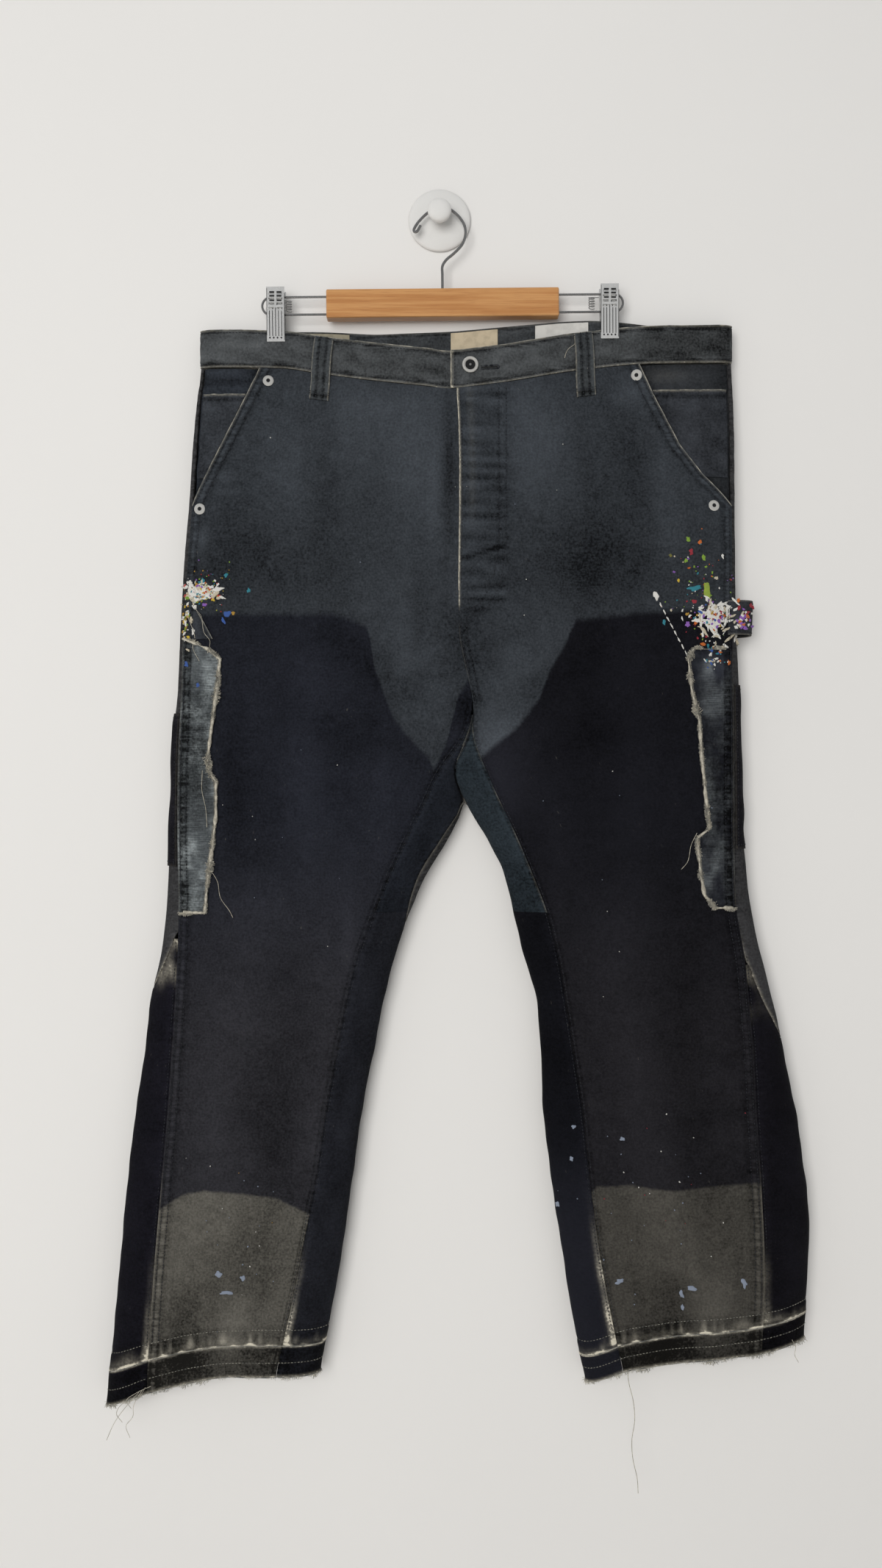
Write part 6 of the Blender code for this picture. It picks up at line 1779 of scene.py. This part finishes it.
def tilted(points):
    points = np.asarray(points, float)
    x, y, z = points[..., 0], points[..., 1], points[..., 2]
    return np.stack([x * cos(lean) - z * sin(lean), y, x * sin(lean) + z * cos(lean)], -1)


def wire(name, points, diameter, finish, resolution=5):
    curve = bpy.data.curves.new(name, "CURVE")
    curve.dimensions = "3D"
    curve.bevel_depth = diameter / 2 * mm
    curve.bevel_resolution = resolution
    curve.use_fill_caps = True
    spline = curve.splines.new("POLY")
    spline.points.add(len(points) - 1)
    for spot, point in zip(spline.points, points):
        spot.co = (*(np.asarray(point) * mm), 1)
    spline.use_smooth = True
    curve.materials.append(finish)
    return addObject(name, curve)


hookRoute = [
    (-22.6, -11.6), (-25.4, -16.6), (-27.6, -18.4), (-29.6, -17.4), (-29.2, -14.4), (-24.6, -7.6),
    (-15.4, 1.4), (-6.4, 6), (1.6, 7), (9.6, 4.8), (18.2, -2.6), (23.8, -11.6), (25, -21.2), (21.4, -32),
    (12.6, -41.4), (4.6, -48), (0.2, -55), (0, -64), (0, -80.1),
]
knots = [Vector((hangerX + x, wireY, z)) for x, z in hookRoute]
hook = wire("chrome_hook", tilted([tuple(point) for point in smoothCurve(knots, 120)]),
            hangerSizes["hookDiameter"], wireChrome)
rides(hook, "hanger_chrome", "hanger_hook")
for side in legs:
    radius = hangerSizes["barSpacing"] / 2
    start = hangerSizes["barStart"] + cut["seamGap"]
    turnX = hangerSizes["barReach"] - hangerSizes["barDiameter"] / 2 - radius
    route = [(start, radius)]
    route += [(turnX + radius * sin(angle), radius * cos(angle)) for angle in np.linspace(0, pi, 33)]
    route += [(start, -radius)]
    placed = tilted([(hangerX + side * x, wireY, blockZ + z) for x, z in route])
    bar = wire("chrome_bar_" + word[side], placed, hangerSizes["barDiameter"], wireChrome)
    rides(bar, "hanger_chrome", "hanger_bar_" + word[side])
    # slots, flutes and dimples pressed into the front jaw, drawn as dark metal marks that are painted shade
    # in the openings and hollows; the rims along the jaw's two sides are painted shade too
    node = "clip_front_jaw_" + word[side]
    low, high = boxMm(node)
    jaw = joinedSkin([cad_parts[part + word[side]].data for part in clipParts])
    centre, tall = (low[0] + high[0]) / 2, high[2] - low[2]

    def onJaw(x, share, lift):
        found = jaw.ray_cast(Vector((centre + x, low[1] - 20, low[2] + tall * share)), Vector((0, 1, 0)))[0]
        return None if found is None else np.array(found) - np.array((0, lift, 0))

    flutes = [[onJaw(x - (share - 0.3) * 0.5, share, 0.1) for share in np.linspace(0.1, 0.62, 18)]
              for x in np.linspace(-1, 1, hangerSizes["flutes"]) * hangerSizes["fluteReach"]]
    slots = [[onJaw(x + reach, share, 0.1) for reach in np.linspace(-2.5, 2.5, 7)]
             for x in hangerSizes["slotX"] for share in hangerSizes["slotShares"]]
    rims = [[onJaw(x, share, 0) for share in np.linspace(0.03, 0.97, 24)]
            for x in (low[0] - centre + 0.5, high[0] - centre - 0.5)]
    for label, tracks, radius in (("flutes", flutes, 0.36), ("slots", slots, 0.85), ("rims", rims, 0.28)):
        tracks = [np.array([point for point in track if point is not None]) for track in tracks]
        tracks = [track for track in tracks if len(track) > 3]
        rides(tubes("clip_%s_%s" % (label, word[side]), tracks, radius, darkMetalAndShade, 8, 0), "hanger_chrome")
    for number, place in enumerate(hangerSizes["dimpleX"]):
        dimple = lathe("clip_dimple_%s_%d" % (word[side], number), hangerSizes["dimple"], darkMetalAndShade, 14,
                       onJaw(place, 0.07, -0.1))
        rides(dimple, "hanger_chrome")
    # the spring between the two runs of the bar
    coil = [(side * springX + springRadius * cos(turn), wireY + springRadius * sin(turn),
             blockZ - 6 + turn * hangerSizes["springRise"])
            for turn in np.linspace(0, hangerSizes["springTurns"] * 2 * pi, 90)]
    coil.append((side * hangerSizes["springEnd"], wireY, coil[-1][2]))
    spring = wire("clip_spring_" + word[side], tilted(coil), hangerSizes["springWire"], steel, 2)
    rides(spring, "hanger_chrome")
bareNodes = [(part + word[side], chrome) for part in clipParts for side in legs] + [("hanger_block", wood)]
for node, finish in bareNodes:
    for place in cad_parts[node].material_slots:
        place.material = finish

print("wall hook")
wallHook = [
    (0, 0), (33, 0), (33.2, 1.2), (32.6, 2.6), (31, 3.6), (26, 4.6), (20, 5.4), (12, 6), (8, 6.3), (6, 6.9),
    (5.2, 8.2), (5.2, 17), (5.7, 18.6), (7.4, 19.3), (10.6, 20.4), (12.2, 21.8), (12.5, 23.4), (12.4, 25.2),
    (11.6, 26.8), (9.8, 28.2), (6.4, 29.3), (3, 29.7), (0, 29.8),
]
rides(lathe("white_wall_hook", wallHook, hookWhite, 72), "wall_hook_white", "wall_hook")

print("hem thread")
hemThread = {"diameter": 0.7, "points": 24,
             "route": [(196, 0), (197.5, -14), (202, -32), (203.5, -52), (200.5, -72), (201.5, -92),
                       (206, -112), (207, -128)]}       # x, and the drop below its start
low, high = boxMm("hem_thread")
knots = [Vector((x, (low[1] + high[1]) / 2, high[2] + drop)) for x, drop in hemThread["route"]]
route = [np.array(point) for point in smoothCurve(knots, hemThread["points"])]
threadLength = sum(norm(second - first) for first, second in zip(route, route[1:]))
threadPiece = wire("loose_hem_thread", route, hemThread["diameter"], creamThread, 2)
rides(threadPiece, "thread", "hem_thread")

print("what rides, and what it stands for")
for thing, slotName, node in riding + [(entry["thing"], entry["slot"], entry["node"]) for entry in sewn]:
    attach(thing, "root")
    if node:
        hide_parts(node)
for entry in sewn:
    width, length = entry["flat"]
    print(entry["node"], "flat %.3f x %.3f m, area %.4f" % (width, length, entry["area"]))

print("wall, floor and light")
stageSizes = {"wallY": 1.5, "floorZ": -1750, "reach": 6000}      # mm


def stagePlane(name, ends, colour, roughness):
    # from side to side between two lines of y and z, in mm; clear from behind
    reach = stageSizes["reach"]
    corners = [(x, *line) for line, turn in zip(ends, (1, -1)) for x in (-reach * turn, reach * turn)]
    made, tree, shader = plainMaterial(name, colour, roughness, 0.97, 3, 3, 260, 0.06, 0.0005)
    clear = flow(tree, "ShaderNodeBsdfTransparent")
    rear = addNode(tree, "ShaderNodeNewGeometry").outputs["Backfacing"]
    both = flow(tree, "ShaderNodeMixShader", (rear, shader.outputs[0], clear))
    feed(tree, tree.nodes["Material Output"].inputs["Surface"], both)
    thing = addMesh(name, corners, [(0, 1, 2, 3)])
    thing.data.materials.append(made)


foot, wallTop = (stageSizes["wallY"], stageSizes["floorZ"]), (stageSizes["wallY"], stageSizes["reach"])
stagePlane("room_wall", (foot, wallTop), (0.8, 0.79, 0.775), 0.75)
stagePlane("room_floor", ((-stageSizes["reach"], stageSizes["floorZ"]), foot), (0.72, 0.7, 0.67), 0.6)
lightSizes = {"x": -1.2, "y": -3.9, "z": -0.1, "size": 2.4, "power": 106, "fill": 0.385}
lamp = bpy.data.lights.new("window_light", "AREA")
lamp.shape = "SQUARE"
lamp.size = lightSizes["size"]
lamp.energy = lightSizes["power"]
lamp.color = (1, 0.985, 0.96)
lampThing = addObject("window_light", lamp)
lampThing.visible_glossy = False          # chrome shows the room, not the lamp
lampThing.location = (lightSizes["x"], lightSizes["y"], lightSizes["z"])
aim = Vector((0, 0, -0.65)) - lampThing.location
lampThing.rotation_euler = aim.to_track_quat("-Z", "Y").to_euler()
world = bpy.data.worlds.new("room")
world.use_nodes = True
background = world.node_tree.nodes["Background"]
background.inputs["Color"].default_value = (0.97, 0.985, 1, 1)
background.inputs["Strength"].default_value = lightSizes["fill"]
scene.world = world
scene.view_settings.view_transform = "Standard"
